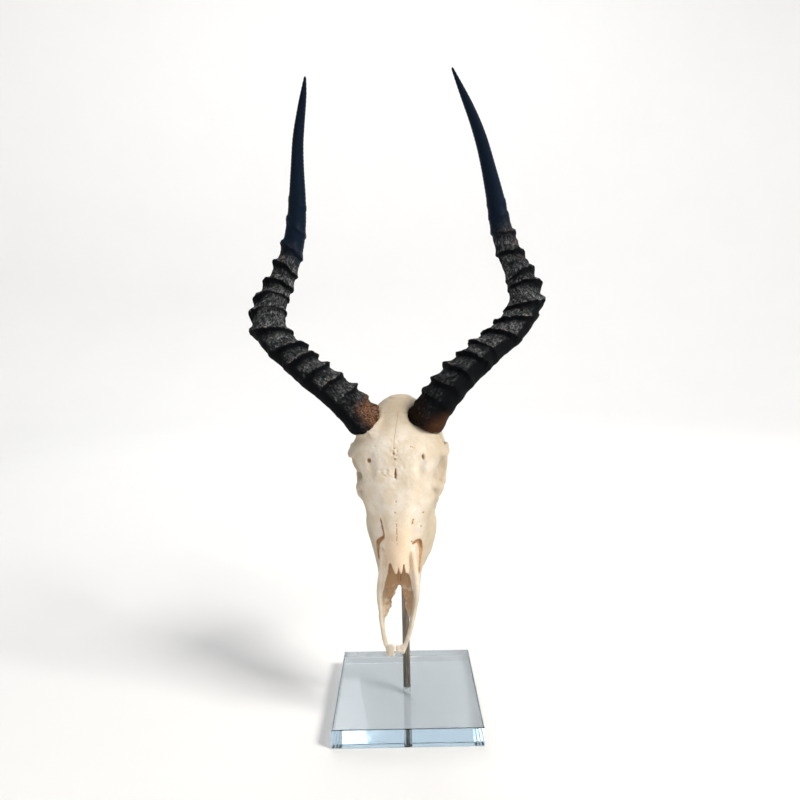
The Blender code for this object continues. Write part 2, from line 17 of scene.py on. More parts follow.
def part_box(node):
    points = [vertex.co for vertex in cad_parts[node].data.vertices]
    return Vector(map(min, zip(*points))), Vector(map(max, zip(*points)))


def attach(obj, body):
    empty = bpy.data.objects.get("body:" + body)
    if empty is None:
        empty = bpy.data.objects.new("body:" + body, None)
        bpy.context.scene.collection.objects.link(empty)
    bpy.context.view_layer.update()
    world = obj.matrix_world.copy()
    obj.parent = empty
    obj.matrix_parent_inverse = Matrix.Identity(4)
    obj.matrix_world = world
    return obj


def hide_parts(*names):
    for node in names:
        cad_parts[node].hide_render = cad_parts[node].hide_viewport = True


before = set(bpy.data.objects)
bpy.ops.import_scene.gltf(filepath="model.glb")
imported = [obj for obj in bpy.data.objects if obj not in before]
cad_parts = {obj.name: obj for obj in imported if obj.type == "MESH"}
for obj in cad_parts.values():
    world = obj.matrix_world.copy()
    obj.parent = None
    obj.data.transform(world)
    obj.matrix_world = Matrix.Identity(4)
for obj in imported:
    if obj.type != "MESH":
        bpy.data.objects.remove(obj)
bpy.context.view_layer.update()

bl_info = {
    "name": "Mounted impala skull",
    "version": (1, 0, 0),
    "blender": (4, 5, 0),
    "location": "3D View > Sidebar > Skull",
    "description": "Builds the dressed skull, horns, teeth, rod, slab and studio around the packed model",
    "category": "Object",
}

MM = 0.001
BODY = "root"

SLAB_LOW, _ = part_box("base")
ROD_LOW, ROD_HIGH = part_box("rod")
ROD_RADIUS = (ROD_HIGH.x - ROD_LOW.x) / 2
# The gap, in millimetres, around everything that is set into the bone or the sheaths
CLEARANCE = 0.3

# The skull is turned about the upright, and its middle stands beside the rod
SKULL_TURN = math.radians(-5.5)
TURN_COS, TURN_SIN = math.cos(SKULL_TURN), math.sin(SKULL_TURN)
SKULL_SHIFT = -1.5
# The muzzle leans to the left below this height, by this share of the drop
MUZZLE_LEAN_FROM = 170
MUZZLE_LEAN = 0.065

# Level sections of the skull's body: a height, then half an outline. Its points are the ridge of the face,
# the nasal's edge, the ridge's foot, the side wall, the widest place, the outer and inner edge of the tooth
# row, the palate's edge and the palate's middle. Higher up the last four are the braincase's side and back.
BODY_SECTIONS = (
    (153, (0, -47), (8, -50), (13, -50), (18, -47), (22, -40),
     (21, -33), (15, -30), (8, -30), (0, -30)),
    (160, (0, -58), (8, -57), (12, -53), (18, -47.5), (22, -39),
     (21, -30), (15, -27), (8, -28), (0, -28)),
    (171, (0, -63), (8, -60), (11.5, -53.5), (18, -48), (23.2, -36),
     (21.5, -24), (15.5, -20), (10, -24.5), (0, -25.5)),
    (178, (0, -66.2), (8, -63), (11.5, -54.8), (18.2, -48.5), (25.5, -31),
     (23.5, -19), (16, -16), (10.5, -22), (0, -23.5)),
    (188, (0, -66.8), (8.4, -63.5), (11.5, -55.5), (18.5, -49), (29, -25),
     (27, -12), (16.5, -11), (11.5, -18), (0, -20)),
    (208, (0, -66.5), (9.5, -63.5), (13, -56.5), (21.5, -49.5), (35, -18),
     (31.5, -5), (17.5, -5), (12.5, -12), (0, -14)),
    (232, (0, -65), (12, -62), (16.5, -57), (26, -50), (35.3, -14),
     (31.5, 2.5), (18, 3), (12.5, -5), (0, -7.5)),
    (247, (0, -63), (14.5, -61), (20, -57), (31, -50), (38, -16),
     (30, 3), (16, 3), (11, -1), (0, -3.5)),
    (260, (0, -61.5), (16.5, -60), (23.5, -56.5), (32.5, -49.5), (38, -35),
     (31, -6), (13, 5), (8, 5), (0, 4)),
    (272, (0, -60.5), (18, -59), (26.5, -55.5), (33.5, -49), (37, -38),
     (25, -12), (20, 8), (11, 14), (0, 15)),
    (285, (0, -59.5), (20, -57.5), (30, -54), (39, -47.5), (43.5, -37),
     (27, -12), (26, 12), (15, 26), (0, 29)),
    (299, (0, -58.5), (20, -56.5), (31, -52), (42.5, -44.5), (49, -34),
     (30, -12), (31, 18), (18, 38), (0, 43)),
    (314, (0, -53), (16, -51), (26, -46), (35, -38), (38, -28),
     (31, -8), (32, 18), (19, 39), (0, 44)),
    (328, (0, -43), (11, -41), (20, -35), (26, -27), (29, -16),
     (29, 0), (26, 18), (15, 34), (0, 39)),
    (340, (0, -27), (8, -26), (13, -23), (17, -17), (20, -8),
     (20, 2), (16, 14), (9, 24), (0, 27)),
    (347, (0, -12), (3, -12), (6, -10.5), (8, -8), (10, -3),
     (10, 2), (8, 8), (4, 12), (0, 13)),
)
OUTLINE_POINTS = 38

# Ellipsoids that swell the body on both sides: middle, half sizes and the fillet into what they grow from
SWELLINGS = {
    "braincase": ((0, 1, 306), (32.5, 44, 43.5), 8),
    "condyle": ((10, 43, 285), (8.5, 9, 10), 3),
    "bulla": ((17, 20, 272), (7.5, 10, 9), 2.5),
    "cheek_tuber": ((32, -17, 217), (4, 8, 14), 5),
    "arch_root": ((40, -14, 250), (6.5, 16, 8), 4),
}

# Bars carried along a path on both sides: the points, half widths, half depths and the fillet
BARS = {
    "premaxilla": (
        ((14.8, -54, 196), (16.5, -51.5, 178), (18.4, -46.5, 160), (19, -42.5, 144), (17.6, -41.5, 130),
         (15.7, -43.5, 116), (13.2, -45.8, 103), (11, -47.8, 94)),
        (2.2, 3, 3.6, 3.1, 2.9, 2.6, 2.2, 1.4),
        (3, 5, 7, 7.5, 6.5, 5, 3.6, 1.8),
        2.5,
    ),
    "palate_prong": (
        ((7.5, -31, 160), (10.6, -32.8, 149.5), (12.6, -35.2, 138.5), (13.6, -38, 128), (16, -40, 119)),
        (7, 8.8, 7.4, 5.2, 2.4),
        (4.2, 4.4, 3.4, 2.6, 2.2),
        2.5,
    ),
    "cheek_arch": (
        ((31, -14, 230), (36.6, -12, 242), (42, -8, 252), (42, -1, 262), (40, 5, 273), (40.1, 8, 288),
         (41, 13, 304), (34, 16, 318)),
        (5, 5, 4.3, 7, 10.2, 10.2, 4.5, 4.5),
        (11, 10.5, 9, 7, 4.8, 4.6, 4.6, 6),
        3.5,
    ),
    "orbit_roof": (
        ((44.5, -37, 294.5), (48.8, -27, 294.8), (49.6, -13, 296.3), (45, 4, 293)),
        (3.4, 3.0, 2.6, 3.4),
        (7.5, 4.9, 4.8, 6),
        3.5,
    ),
    "orbit_floor": (
        ((35, -40, 263), (40, -32, 259), (42.6, -21, 257.5), (43, -6, 258)),
        (3.5, 3.4, 3.2, 3.2),
        (5.5, 6, 6, 6),
        3.5,
    ),
    "pterygoid": (
        ((13, -3, 228), (11.5, 3, 243), (10.5, 8, 256), (12, 12, 268)),
        (1.8, 1.4, 1.4, 3),
        (5, 6, 5, 4),
        2.5,
    ),
    "paroccipital": (
        ((25, 33, 296), (26, 34, 280), (24.5, 32, 266), (23.5, 30, 258)),
        (6, 4, 2.8, 1.6),
        (6, 4.5, 3, 1.6),
        3,
    ),
    "nuchal_crest": (
        ((0, 41, 332), (10, 40.5, 331), (20, 38, 325), (28, 32, 315), (31, 27, 304)),
        (3.5, 3, 2.8, 2.6, 2),
        (4.5, 4.2, 4, 3.5, 2.5),
        5,
    ),
}
# Thin bones inside the open nose, on both sides
NOSE_BONES = {
    "concha": (
        ((6.2, -48.5, 186), (5.8, -49, 194), (5, -48, 204), (4, -46, 216)),
        (1.6, 2.6, 2.6, 2),
        (2.6, 4.4, 4.4, 3),
        0.8,
    ),
    "vomer": (
        ((0, -34, 158), (0, -35, 176), (0, -34, 200)),
        (0.9, 1.0, 1.2),
        (3.5, 6, 9),
        1.2,
    ),
}
# A bar's depth lies along this direction, and its width square to that
BAR_FACING = (0, 1, 0.3)
BAR_STATION_GAP = 1.4
LEAST_STATION_LENGTH = 2.0

# Ellipsoids cut away on both sides: middle, half sizes and the rounding of the edge
HOLLOWS = {
    "orbit": ((50, -16.5, 275.5), (25, 18.5, 16.5), 2.0),
    "temple": ((40, -8, 314), (10, 20, 9), 4),
    "foramen_magnum": ((0, 52, 298), (9, 24, 8.5), 2),
    "choana": ((0, 3, 249), (8, 9, 13), 2),
    "optic_hole": ((25, -9, 278), (5, 2.4, 2.2), 1.2),
    "ear_hole": ((30, 15, 291), (5, 3, 3), 1.5),
    "palate_hole": ((8.5, -12, 212), (1.6, 3.5, 2.2), 1),
    "brow_groove": ((25.5, -58.5, 285), (5, 4.5, 12), 4),
}
# The supraorbital holes differ: the left is round, the right is a tall slot
BROW_HOLES = (
    ((-27, -54.5, 289.4), (2.2, 4, 2.3), 1.2),
    ((27, -54.5, 293.2), (1.3, 3, 3.4), 1.2),
)
# The right cheek is fuller lower down, as a bar, and its arch starts closer in, as an ellipsoid cut away
RIGHT_CHEEK = (
    ((31.5, -17, 217), (30.8, -19, 205), (26.8, -23, 188), (22.5, -28, 177)),
    (5.5, 5.8, 5.2, 3),
    (8, 8, 7, 4),
    5,
)
RIGHT_ARCH_CUT = ((48, -10, 241), (10.5, 18, 13), 3)
# The orbits' front rims differ too: the left one runs in slowly below its widest place, the right one is full
LEFT_RIM = (
    ((-44.5, -28, 290), (-43.3, -31, 284), (-39.5, -35, 277)),
    (4.6, 5, 4),
    (3.6, 3.6, 3),
    3,
)
RIGHT_RIM = (
    ((37.5, -33, 277), (38.5, -33.5, 266), (39.5, -34.5, 255), (38, -33, 244)),
    (3.2, 3.6, 3.8, 3.4),
    (3, 3.2, 3.6, 3.2),
    4.5,
)
# Small pits of the face: across, height and radius
FACE_PITS = (
    (-0.8, 302.5, 1.3), (-1.5, 297.5, 1.6), (0.9, 295.5, 1.1), (-0.1, 292.0, 1.5), (1.6, 300, 0.9),
    (0.3, 249.9, 1.0), (-0.9, 239.2, 1.1), (26.2, 235.6, 1.2), (23.9, 221.1, 1.1), (14.6, 206.5, 1.4),
    (15.2, 304, 0.8), (17, 303.6, 0.7), (18.8, 302.8, 0.7),
)
# Knobbly patches of the face: across, height, half width and half height
KNOBBLY = ((-8.5, 277.5, 7.5, 6.5), (-0.5, 297, 3.5, 9), (-26, 314, 7, 6))
# The open nose in front of the nasals' tips: height, half width and floor. A tunnel runs up from it, as a bar
NOSE_OPENING = ((176, 8.5, -50), (169, 12, -46), (156, 13.6, -38), (140, 14.4, -33))
NOSE_FLOOR_ROUND = 10
NOSE_TUNNEL = (
    ((0, -43, 140), (0, -46, 160), (0, -49, 176), (0, -49.5, 190), (0, -49, 204), (0, -44, 222)),
    (13.6, 13.2, 10, 8.5, 8, 5),
    (10, 12, 13, 12.5, 11, 5),
    1.5,
)
# The lower edge of the nasals: across and height
NASAL_EDGE = (
    (-9.5, 178), (-8.4, 184), (-7.1, 187.6), (-5.8, 187), (-4.2, 182), (-2.5, 177.5), (-0.9, 173),
    (0.4, 177.5), (1.5, 185), (2.6, 178), (3.9, 173), (5.3, 179), (6.5, 187.6), (7.5, 182), (8.8, 169.5),
    (10, 167.2), (11, 174),
)
NASAL_PLATE_BACK = -54
# Slits and grooves cut into the bone: points, half widths, half depths and the rounding of the edge.
# The fissures beside the nose differ: one on the left; a short and a broad one on the right
FISSURES = (
    (
        ((-16.2, -54.4, 231), (-14, -54.8, 221), (-13.2, -54.3, 212.5), (-16.6, -52.2, 208.5),
         (-20.2, -49.7, 204), (-20.9, -47.4, 196), (-20.3, -46, 185)),
        (0.7, 1.05, 1.2, 1.7, 2.0, 1.6, 0.7),
        (1.6, 2.0, 2.2, 2.8, 3.2, 3, 1.6),
        0.6,
    ),
    (((16.4, -54.4, 230.5), (15.3, -54.8, 225)), (0.55, 0.4), (1.5, 1.3), 0.5),
    (
        ((15.2, -53, 203.8), (18, -51.2, 205.6), (21, -49.2, 205.4), (22.6, -47.2, 199), (22.2, -45.8, 188),
         (20.8, -44.8, 170)),
        (0.8, 1.3, 2.0, 1.9, 1.2, 0.5),
        (1.8, 2.6, 3.2, 3.4, 3, 1.6),
        0.6,
    ),
)
NASAL_SEAM = (
    ((9.4, -63, 192), (10.2, -63.2, 202), (11.4, -62.8, 212), (12.8, -62, 222)),
    (0.7, 0.7, 0.6, 0.5),
    (1.3, 1.2, 1.0, 0.7),
    0.8,
)
BROW_SLIT = (((0, -60.5, 281.8), (0, -61, 277.5), (0, -61.2, 273.4)), (0.9, 1.1, 0.9), (3.2, 4, 3.2), 0.5)
PRONG_GAP = (((0, -49, 76), (0, -49, 88), (0, -49, 100)), (0.5, 0.5, 0.5), (8, 8, 8), 0.5)
# The flat blades at the prongs' ends: their outlines, across and height. They lean back as they run inwards
# from their outer edge
PRONG_BLADES = (
    ((-16.4, 112), (-14.6, 104), (-12.6, 95.5), (-10.6, 89), (-9.6, 83), (-7.2, 81.2), (-3.6, 82.4),
     (-0.6, 80.6), (-0.7, 92.4), (-3.8, 94.2), (-6.6, 93.2), (-8.2, 96), (-10.4, 103), (-12.6, 112)),
    ((16, 112), (14.8, 104), (13.2, 96), (12.2, 89.6), (10, 84.6), (7, 83.6), (4.4, 85.4), (0.7, 85),
     (0.8, 93.6), (4, 92.4), (7.4, 94), (9.4, 97.4), (10.8, 103.5), (12.6, 112)),
)
BLADE_DEPTH = -48
BLADE_HALF_THICKNESS = 1.1
BLADE_LEAN = 0.12
BLADE_LEAN_FROM = 7
BLADE_ROUND = 0.6
BLADE_FILLET = 1.2

# The grid that the bone is worked out on: steps across, in depth and in height, and its reach
GRID_STEP = (0.9, 1.42, 1.0)
GRID_LOW = (0, -73, 78)
GRID_HIGH = (60, 58, 352)
FAR = 60.0
# Its net is relaxed this many times, by this share, and laid back on the field by a share of a limited offset
RELAX_ROUNDS = 2
RELAX_SHARE = 0.5
LAY_BACK_REACH = 0.5
LAY_BACK_SHARE = 0.8
# Over which distances the share of bone around a point is taken, for creases and for hollows
NEAR_REACH = 3.0
WIDE_REACH = 9.0
PIT_DEPTH = 0.9

# The cheek teeth: heights of their middles, lengths along the row and widths across it
TOOTH_ROW = (
    (168.5, 7.5, 6.5),
    (177.0, 8.5, 8.0),
    (186.5, 9.5, 9.5),
    (197.5, 11.5, 12.0),
    (210.5, 13.5, 13.5),
    (225.0, 14.5, 13.5),
)
TOOTH_HEIGHT = 9.0
TOOTH_ROOT = 4.0
ROW_LOW = (168, 18.3, -22)
ROW_HIGH = (228, 25, 1.5)
ROW_SLOPE = (ROW_HIGH[2] - ROW_LOW[2]) / (ROW_HIGH[0] - ROW_LOW[0])
# A longer tooth is a molar, with two lobes
MOLAR_LENGTH = 10
TOOTH_TURNS = 72
# Levels up a tooth's wall, and the outline's size there and over the worn top
WALL_LEVELS = (-TOOTH_ROOT, -2, 0, 2, 4, 6, 7.4, 8.3, 8.8)
WALL_SCALES = (0.80, 0.93, 0.99, 1.0, 0.99, 0.96, 0.91, 0.86, 0.80)
TOP_SCALES = (0.72, 0.62, 0.52, 0.42, 0.32, 0.22, 0.12)

# The rod's ends: how far in from the end, and how much less the radius is there
ROD_ENDS = ((0, 0.7), (0.05, 0.6), (0.6, 0.05), (0.7, 0))
ROD_ROWS = 150
ROD_TURNS = 64

# Middle lines of the horns in the model's frame, from the brow to the tip
HORN_PATHS = {
    "left": (
        (-35.6, -30, 326), (-50, -36, 344.5), (-67, -37, 361.5), (-88, -32, 377.5), (-107, -23, 392.5),
        (-124.5, -12, 406.5), (-137, 0, 422), (-140.3, 11, 439), (-137, 20, 456.5), (-130, 27, 474),
        (-123.3, 32, 492), (-117, 36, 511.5), (-112.5, 37, 535), (-109.8, 35, 562.5), (-107.5, 30, 593),
        (-104.4, 21, 621.5), (-98.9, 11, 646.5), (-90.2, -7, 674.7),
    ),
    "right": (
        (23.4, -30, 322), (33.2, -36, 341.5), (45.5, -37, 358.7), (59.3, -32, 373.8), (75.7, -23, 387.3),
        (94.8, -12, 401.6), (114.7, 0, 415.7), (129, 11, 431.5), (136.7, 20, 449), (135.3, 27, 468.7),
        (129.1, 32, 488.8), (121.1, 36, 509), (113.6, 37, 533), (108.4, 35, 558), (100.2, 30, 586.7),
        (89.5, 21, 619.5), (77, 11, 648.7), (57.7, -7, 680.3),
    ),
}
# The rings of each horn: where the crest stands along the middle line, how much farther from the foot it lies
# on the outer side than in front, how strongly it shows in front, and how strongly at its sides
HORN_RINGS = {
    "left": (
        (6, 0, 0.5, 1), (21, 0, 0.4, 1), (36, 1, 0.4, 1), (54, 2, 0.6, 1), (73, 4, 1.0, 1), (93, 7, 1.1, 1),
        (112, 10, 0.9, 1), (140.5, 12, 0.9, 1), (158, 0, 0.2, 0.15), (170, -1.5, 0.3, 1),
        (188.5, -4.5, 0.5, 1), (205.5, -1.5, 0.9, 1), (225.5, 4, 1.1, 1), (248, 6, 1.0, 1),
        (274, 9, 0.8, 0.9), (299, 5, 0.6, 0.8),
    ),
    "right": (
        (8, 0, 0.4, 1), (17, 0, 0.4, 0.6), (30.5, 1, 0.5, 1), (45, 1, 0.8, 1), (63, 1, 1.0, 1),
        (86, 7, 1.1, 1), (102, 4, 0.4, 1), (129, 13, 1.2, 1), (155, 18, 1.1, 1), (175, 13, 1.1, 1),
        (202, 0, 1.2, 1), (216, 3, 0.8, 1), (229, -2, 0.4, 0.2), (243, -4, 1.0, 1), (267, -3, 1.0, 1),
        (285, 0, 0.7, 0.7), (299, 0, 0.6, 0.7),
    ),
}
# Where the hooks on the outer side start, and between which places the horn turns smooth
HOOKS_FROM = {"left": 150, "right": 184}
SMOOTH_FROM = {"left": (226, 262), "right": (250, 292)}
# How far round to the front the smooth black turns to grey, from -1 behind to 1 in front. The black
# of the outer side is partly painted shade, and the grey of the front partly painted light
GREY_FROM = {"left": (-0.35, 0.45), "right": (-0.05, 0.55)}
# How much farther round the black, partly painted shade, reaches near the foot
BLACK_NEAR_FOOT = {"left": 0.18, "right": 0.38}
# Half widths of the core between the rings: places along the middle line, then the inner and the outer side
HORN_CORES = {
    "left": (
        (0, 40, 80, 110, 150, 178, 200, 225, 260, 300, 340, 380, 410, 425.2),
        (16.6, 14.6, 13.6, 15.0, 17.0, 16.8, 15.4, 13.8, 12.0, 10.1, 7.3, 5.9, 3.9, 1.3),
        (20.0, 18.9, 17.8, 16.8, 16.9, 16.2, 13.2, 11.6, 10.8, 8.7, 6.5, 4.4, 2.2, 0.8),
    ),
    "right": (
        (0, 40, 80, 110, 150, 185, 207, 230, 260, 300, 340, 380, 410, 442.3),
        (19.4, 16.4, 14.1, 13.8, 15.8, 16.5, 16.6, 15.0, 13.2, 11.0, 7.6, 6.0, 5.0, 1.3),
        (19.0, 19.3, 18.9, 17.9, 17.0, 17.2, 14.6, 11.4, 10.8, 9.0, 7.7, 6.0, 3.4, 0.8),
    ),
}
# How far the rings stand out along the horn on its outer side, front, back and inner side, in millimetres
RING_AT = (0, 20, 35, 100, 125, 150, 205, 235, 260, 285, 310)
RING_OUTER = (0.2, 0.2, 0.3, 0.5, 0.8, 4.6, 4.8, 3.4, 2.4, 1.2, 0.5)
RING_FRONT = (1.5, 2.4, 3.2, 4.2, 4.2, 3.8, 3.2, 2.6, 1.9, 1.0, 0.4)
RING_BACK = (0.5, 0.8, 1.2, 1.4, 1.8, 2.2, 2.0, 1.5, 1.0, 0.5, 0.2)
RING_INNER = {
    "left": (2.4, 2.8, 4.0, 4.2, 2.6, 2.2, 2.2, 2.2, 1.6, 1.0, 0.5),
    "right": (1.2, 1.9, 4.0, 4.1, 3.2, 2.4, 1.1, 2.4, 1.7, 1.0, 0.8),
}
# How much farther down the sheath's rim reaches in front
FOOT_DROOP = {"left": 3.0, "right": -1.5}
# The mean radius, which the bone under the foot follows: shares of the middle line, and radii
HORN_RADIUS_AT = (0, 0.06, 0.25, 0.40, 0.48, 0.56, 0.64, 0.75, 0.86, 0.95, 1)
HORN_RADIUS = (19.0, 18.6, 15.8, 15.2, 13.6, 10.8, 9.4, 7.6, 5.5, 3.2, 1.0)
HORN_ROWS = 540
HORN_COLUMNS = 170
# Rows lie a little closer together near the foot, and the last one just short of the tip
ROW_SPACING = 1.04
TIP_GAP = 0.15
# Patterns run around the horn as on a straight round bar of this radius
STRAIGHT_RADIUS = 18
# The tip and the rim are rounded over this length, and the rim is drawn in
END_ROUND = 2.6
RIM_DRAWN_IN = 2.0
SHEATH_CUP_DEPTH = 11
SHEATH_WALL = 4.5
# Rows from the cup's bottom to the rim: height, share of the way out to the skin, and share of the rim's drop
CUP_ROWS = ((SHEATH_CUP_DEPTH, 0, 0), (8, 0, 0), (4, 0, 0.3), (1.2, 0, 0.8), (0.25, 0.25, 1), (0, 0.7, 1))
PEDICLE_SINK = 16
# How far the bone keeps clear of the sheath's core, over which length of it, and the rounding of the cut
SHEATH_MARGIN = 1.6
SHEATH_FIT_LENGTH = 60
SHEATH_CUT_ROUND = 0.6
# How far the stump ends below the cup's bottom
STUMP_GAP = 2.0
ROOT_FILLET = 5
# How the brow swells under each horn: drops below its foot, and shares of the foot's radius
ROOT_TAPER_AT = (-1, 4, 12, 22)
ROOT_TAPER = (0.90, 0.95, 0.86, 0.5)

# How strongly acrylic bends light, and how strongly it tints it for each metre
ACRYLIC_IOR = 1.49
ACRYLIC_DENSITY = 12.0

# The floor in metres: its gap under the slab, its flat part, the curve at its edge and the wall's top
FLOOR_GAP = 0.0003
FLOOR_FLAT = 2.4
FLOOR_CURVE = 1.4
FLOOR_ROWS = 12
WALL_HEIGHT = 3.3
# The lamps: place, what they face, their side, the setting for their power, their colour, and whether gloss
# shows them
LIGHTS_AIM = (0, 0, 0.36)
LIGHTS = {
    "key light": ((2.0, -1.15, 2.5), LIGHTS_AIM, 0.9, "key_power", (1.0, 0.965, 0.91), True),
    "fill light": ((-2.0, -1.2, 1.2), LIGHTS_AIM, 1.6, "fill_power", (0.92, 0.96, 1.0), True),
    "back light": ((-0.8, 2.2, 2.2), LIGHTS_AIM, 1.4, "back_power", (1.0, 1.0, 1.0), False),
    "wall light": ((0, 1.2, 3.1), (0, 3.8, 1.1), 1.6, "wall_power", (1.0, 1.0, 1.0), False),
}
SKY_COLOUR = (0.93, 0.96, 1.0, 1)

# The fixed numbers of the grain: a factor for each index of a cell, then shifts and factors that mix them
LATTICE_FACTORS = (73856093, 19349663, 83492791)
LATTICE_ROUNDS = ((15, 739982445), (12, 695872825), (15, 1))

# The camera: its sensor in millimetres, the picture's width and focal length in pixels, its place in metres
# and its angles in degrees
SENSOR_WIDTH = 36
PICTURE_WIDTH = 800
FOCAL_LENGTH = 617.9
CAMERA_PLACE = (0.0004, -0.6595, 0.4155)
CAMERA_PITCH = 6.15
CAMERA_ROLL = -1.17
CAMERA_YAW = 0.15


# Plain numbers


def smooth_line(knots, values, at):
    """The smooth curve through the values at the knots: a cubic between each pair, whose slopes at the knots
    are the mean slopes of the neighbours."""
    knots = np.asarray(knots, float)
    values = np.asarray(values, float)
    slopes = np.gradient(values, knots, axis=0)
    cell = np.clip(np.searchsorted(knots, at) - 1, 0, len(knots) - 2)
    span = knots[cell + 1] - knots[cell]
    t = (at - knots[cell]) / span
    shape = np.shape(at) + (1,) * (values.ndim - 1)
    t = t.reshape(shape)
    span = span.reshape(shape)
    start = (1 + 2 * t) * (1 - t) ** 2 * values[cell] + t * (1 - t) ** 2 * span * slopes[cell]
    end = t**2 * (3 - 2 * t) * values[cell + 1] + t**2 * (t - 1) * span * slopes[cell + 1]
    return start + end


def lengths_along(points):
    """Distance along the line from the first point to each point."""
    steps = np.linalg.norm(np.diff(points, axis=0), axis=1)
    return np.concatenate([[0], np.cumsum(steps)])


def ease(low, high, value):
    """Rises from 0 at low to 1 at high, level at both ends."""
    t = np.clip((value - low) / (high - low), 0, 1)
    return t * t * (3 - 2 * t)


def unit(vectors):
    """The same directions with a length of 1."""
    return vectors / np.linalg.norm(vectors, axis=-1, keepdims=True)


def turns(count):
    """Evenly spaced angles around a whole turn."""
    return np.linspace(0, 2 * math.pi, count, endpoint=False)


def stacked(*parts):
    """Arrays of numbers spread over each other and joined as the coordinates of points."""
    return np.stack(np.broadcast_arrays(*parts), axis=-1)


def turned_profile(radii, heights, angles):
    """A profile turned about the upright: a row of points for each height."""
    return stacked(radii * np.cos(angles), radii * np.sin(angles), heights[:, None])


def mixed_corners(part, value_at):
    """Mixes the values at the eight corners of a cell, each by how near it is: part is how far into the cell
    each place lies along the three axes."""
    total = 0
    for corner in product((0, 1), repeat=3):
        step = np.array(corner, np.uint32)
        total = total + np.prod(np.where(step == 1, part, 1 - part), axis=-1) * value_at(step)
    return total


def lattice_value(cells, seed):
    """A fixed number from -1 to 1 for each lattice cell, from its three indices mixed bit by bit."""
    mixed = np.uint32(seed * 40503 + 977)
    for axis, factor in enumerate(LATTICE_FACTORS):
        mixed = mixed ^ cells[..., axis] * np.uint32(factor)
    for shift, factor in LATTICE_ROUNDS:
        mixed = (mixed ^ mixed >> np.uint32(shift)) * np.uint32(factor)
    return mixed.astype(np.float64) / ((2**32 - 1) / 2) - 1


def grain(points, size, seed):
    """Smooth noise from -1 to 1: fixed numbers at the corners of cubes of the size, eased between them."""
    places = np.asarray(points, float) / size + 1000
    cells = np.floor(places).astype(np.uint32)
    part = places - cells
    return mixed_corners(part * part * (3 - 2 * part), lambda step: lattice_value(cells + step, seed))


def skull_to_world(points):
    """Millimetres in the skull's frame as metres in the model's: lean of the muzzle, turn and shift."""
    x, y, z = np.moveaxis(np.asarray(points, float), -1, 0)
    x = x - MUZZLE_LEAN * np.maximum(MUZZLE_LEAN_FROM - z, 0)
    return stacked(TURN_COS * x - TURN_SIN * y + SKULL_SHIFT, TURN_SIN * x + TURN_COS * y, z) * MM


def world_to_skull(points):
    """Millimetres in the model's frame as millimetres in the skull's, above the muzzle's lean."""
    x, y, z = np.moveaxis(np.asarray(points, float), -1, 0)
    x = x - SKULL_SHIFT
    return stacked(TURN_COS * x + TURN_SIN * y, -TURN_SIN * x + TURN_COS * y, z)


# Meshes


def new_piece(name, points, quads, triangles, finish, node, numbers=None):
    """A mesh object from arrays, which rides on the body and replaces the CAD node. numbers are its own
    attributes."""
    mesh = bpy.data.meshes.new(name)
    quads = np.asarray(quads, np.int32).reshape(-1, 4)
    triangles = np.asarray(triangles, np.int32).reshape(-1, 3)
    corners = np.concatenate([quads.ravel(), triangles.ravel()])
    sides = np.concatenate([np.full(len(quads), 4), np.full(len(triangles), 3)])
    starts = np.concatenate([[0], np.cumsum(sides)[:-1]])
    mesh.vertices.add(len(points))
    mesh.vertices.foreach_set("co", np.asarray(points, np.float32).ravel())
    mesh.loops.add(len(corners))
    mesh.loops.foreach_set("vertex_index", corners.astype(np.int32))
    mesh.polygons.add(len(sides))
    mesh.polygons.foreach_set("loop_start", starts.astype(np.int32))
    mesh.update(calc_edges=True)
    if mesh.validate():
        raise RuntimeError(f"the mesh of {name} had faults")
    mesh.shade_smooth()
    for key, values in (numbers or {}).items():
        add_numbers(mesh, key, values)
    mesh.materials.append(finish)
    piece = bpy.data.objects.new(name, mesh)
    bpy.context.scene.collection.objects.link(piece)
    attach(piece, BODY)
    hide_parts(node)


def add_numbers(mesh, key, values):
    """Stores one number or one vector for each point as a named attribute."""
    values = np.asarray(values, np.float32)
    if values.ndim == 1:
        mesh.attributes.new(key, "FLOAT", "POINT").data.foreach_set("value", values)
    else:
        mesh.attributes.new(key, "FLOAT_VECTOR", "POINT").data.foreach_set("vector", values.ravel())


def grid_faces(rows, columns):
    """Quads of a grid that closes on itself in its columns, facing out where columns run anticlockwise and
    rows run up."""
    row, column = np.meshgrid(np.arange(rows - 1), np.arange(columns), indexing="ij")
    after = (column + 1) % columns
    low = row * columns
    high = low + columns
    return np.stack([low + column, low + after, high + after, high + column], axis=-1).reshape(-1, 4)


def pole_faces(row_start, columns, pole, at_end):
    """The fan of triangles that closes the first or the last row of a grid at one point."""
    column = np.arange(columns)
    after = (column + 1) % columns
    middle = np.full(columns, pole)
    first, second = (column, after) if at_end else (after, column)
    return np.stack([row_start + first, row_start + second, middle], axis=-1)


def closed_grid(rows_of_points, start_pole, end_pole):
    """Points, quads and triangles of a grid with a pole at each end."""
    rows, columns, _ = rows_of_points.shape
    points = np.concatenate([rows_of_points.reshape(-1, 3), [start_pole], [end_pole]])
    count = rows * columns
    quads = grid_faces(rows, columns)
    triangles = np.concatenate(
        [
            pole_faces(0, columns, count, at_end=False),
            pole_faces(count - columns, columns, count + 1, at_end=True),
        ]
    )
    return points, quads, triangles


# The bone's field


def smooth_least(first, second, width):
    """The smaller of two distances, with a fillet where they differ by less than the width."""
    gap = np.maximum(width - np.abs(first - second), 0)
    return np.minimum(first, second) - gap * gap / (4 * width)


def ellipsoid_distance(across, back, up, half_sizes):
    """Nearly the distance to an ellipsoid, for offsets from its middle: length of the offset in units of the
    half sizes, less one, divided by how fast that length grows."""
    a, b, c = half_sizes
    scaled = np.sqrt((across / a) ** 2 + (back / b) ** 2 + (up / c) ** 2) + 1e-6
    growth = np.sqrt((across / a**2) ** 2 + (back / b**2) ** 2 + (up / c**2) ** 2) + 1e-6
    return scaled * (scaled - 1) / growth


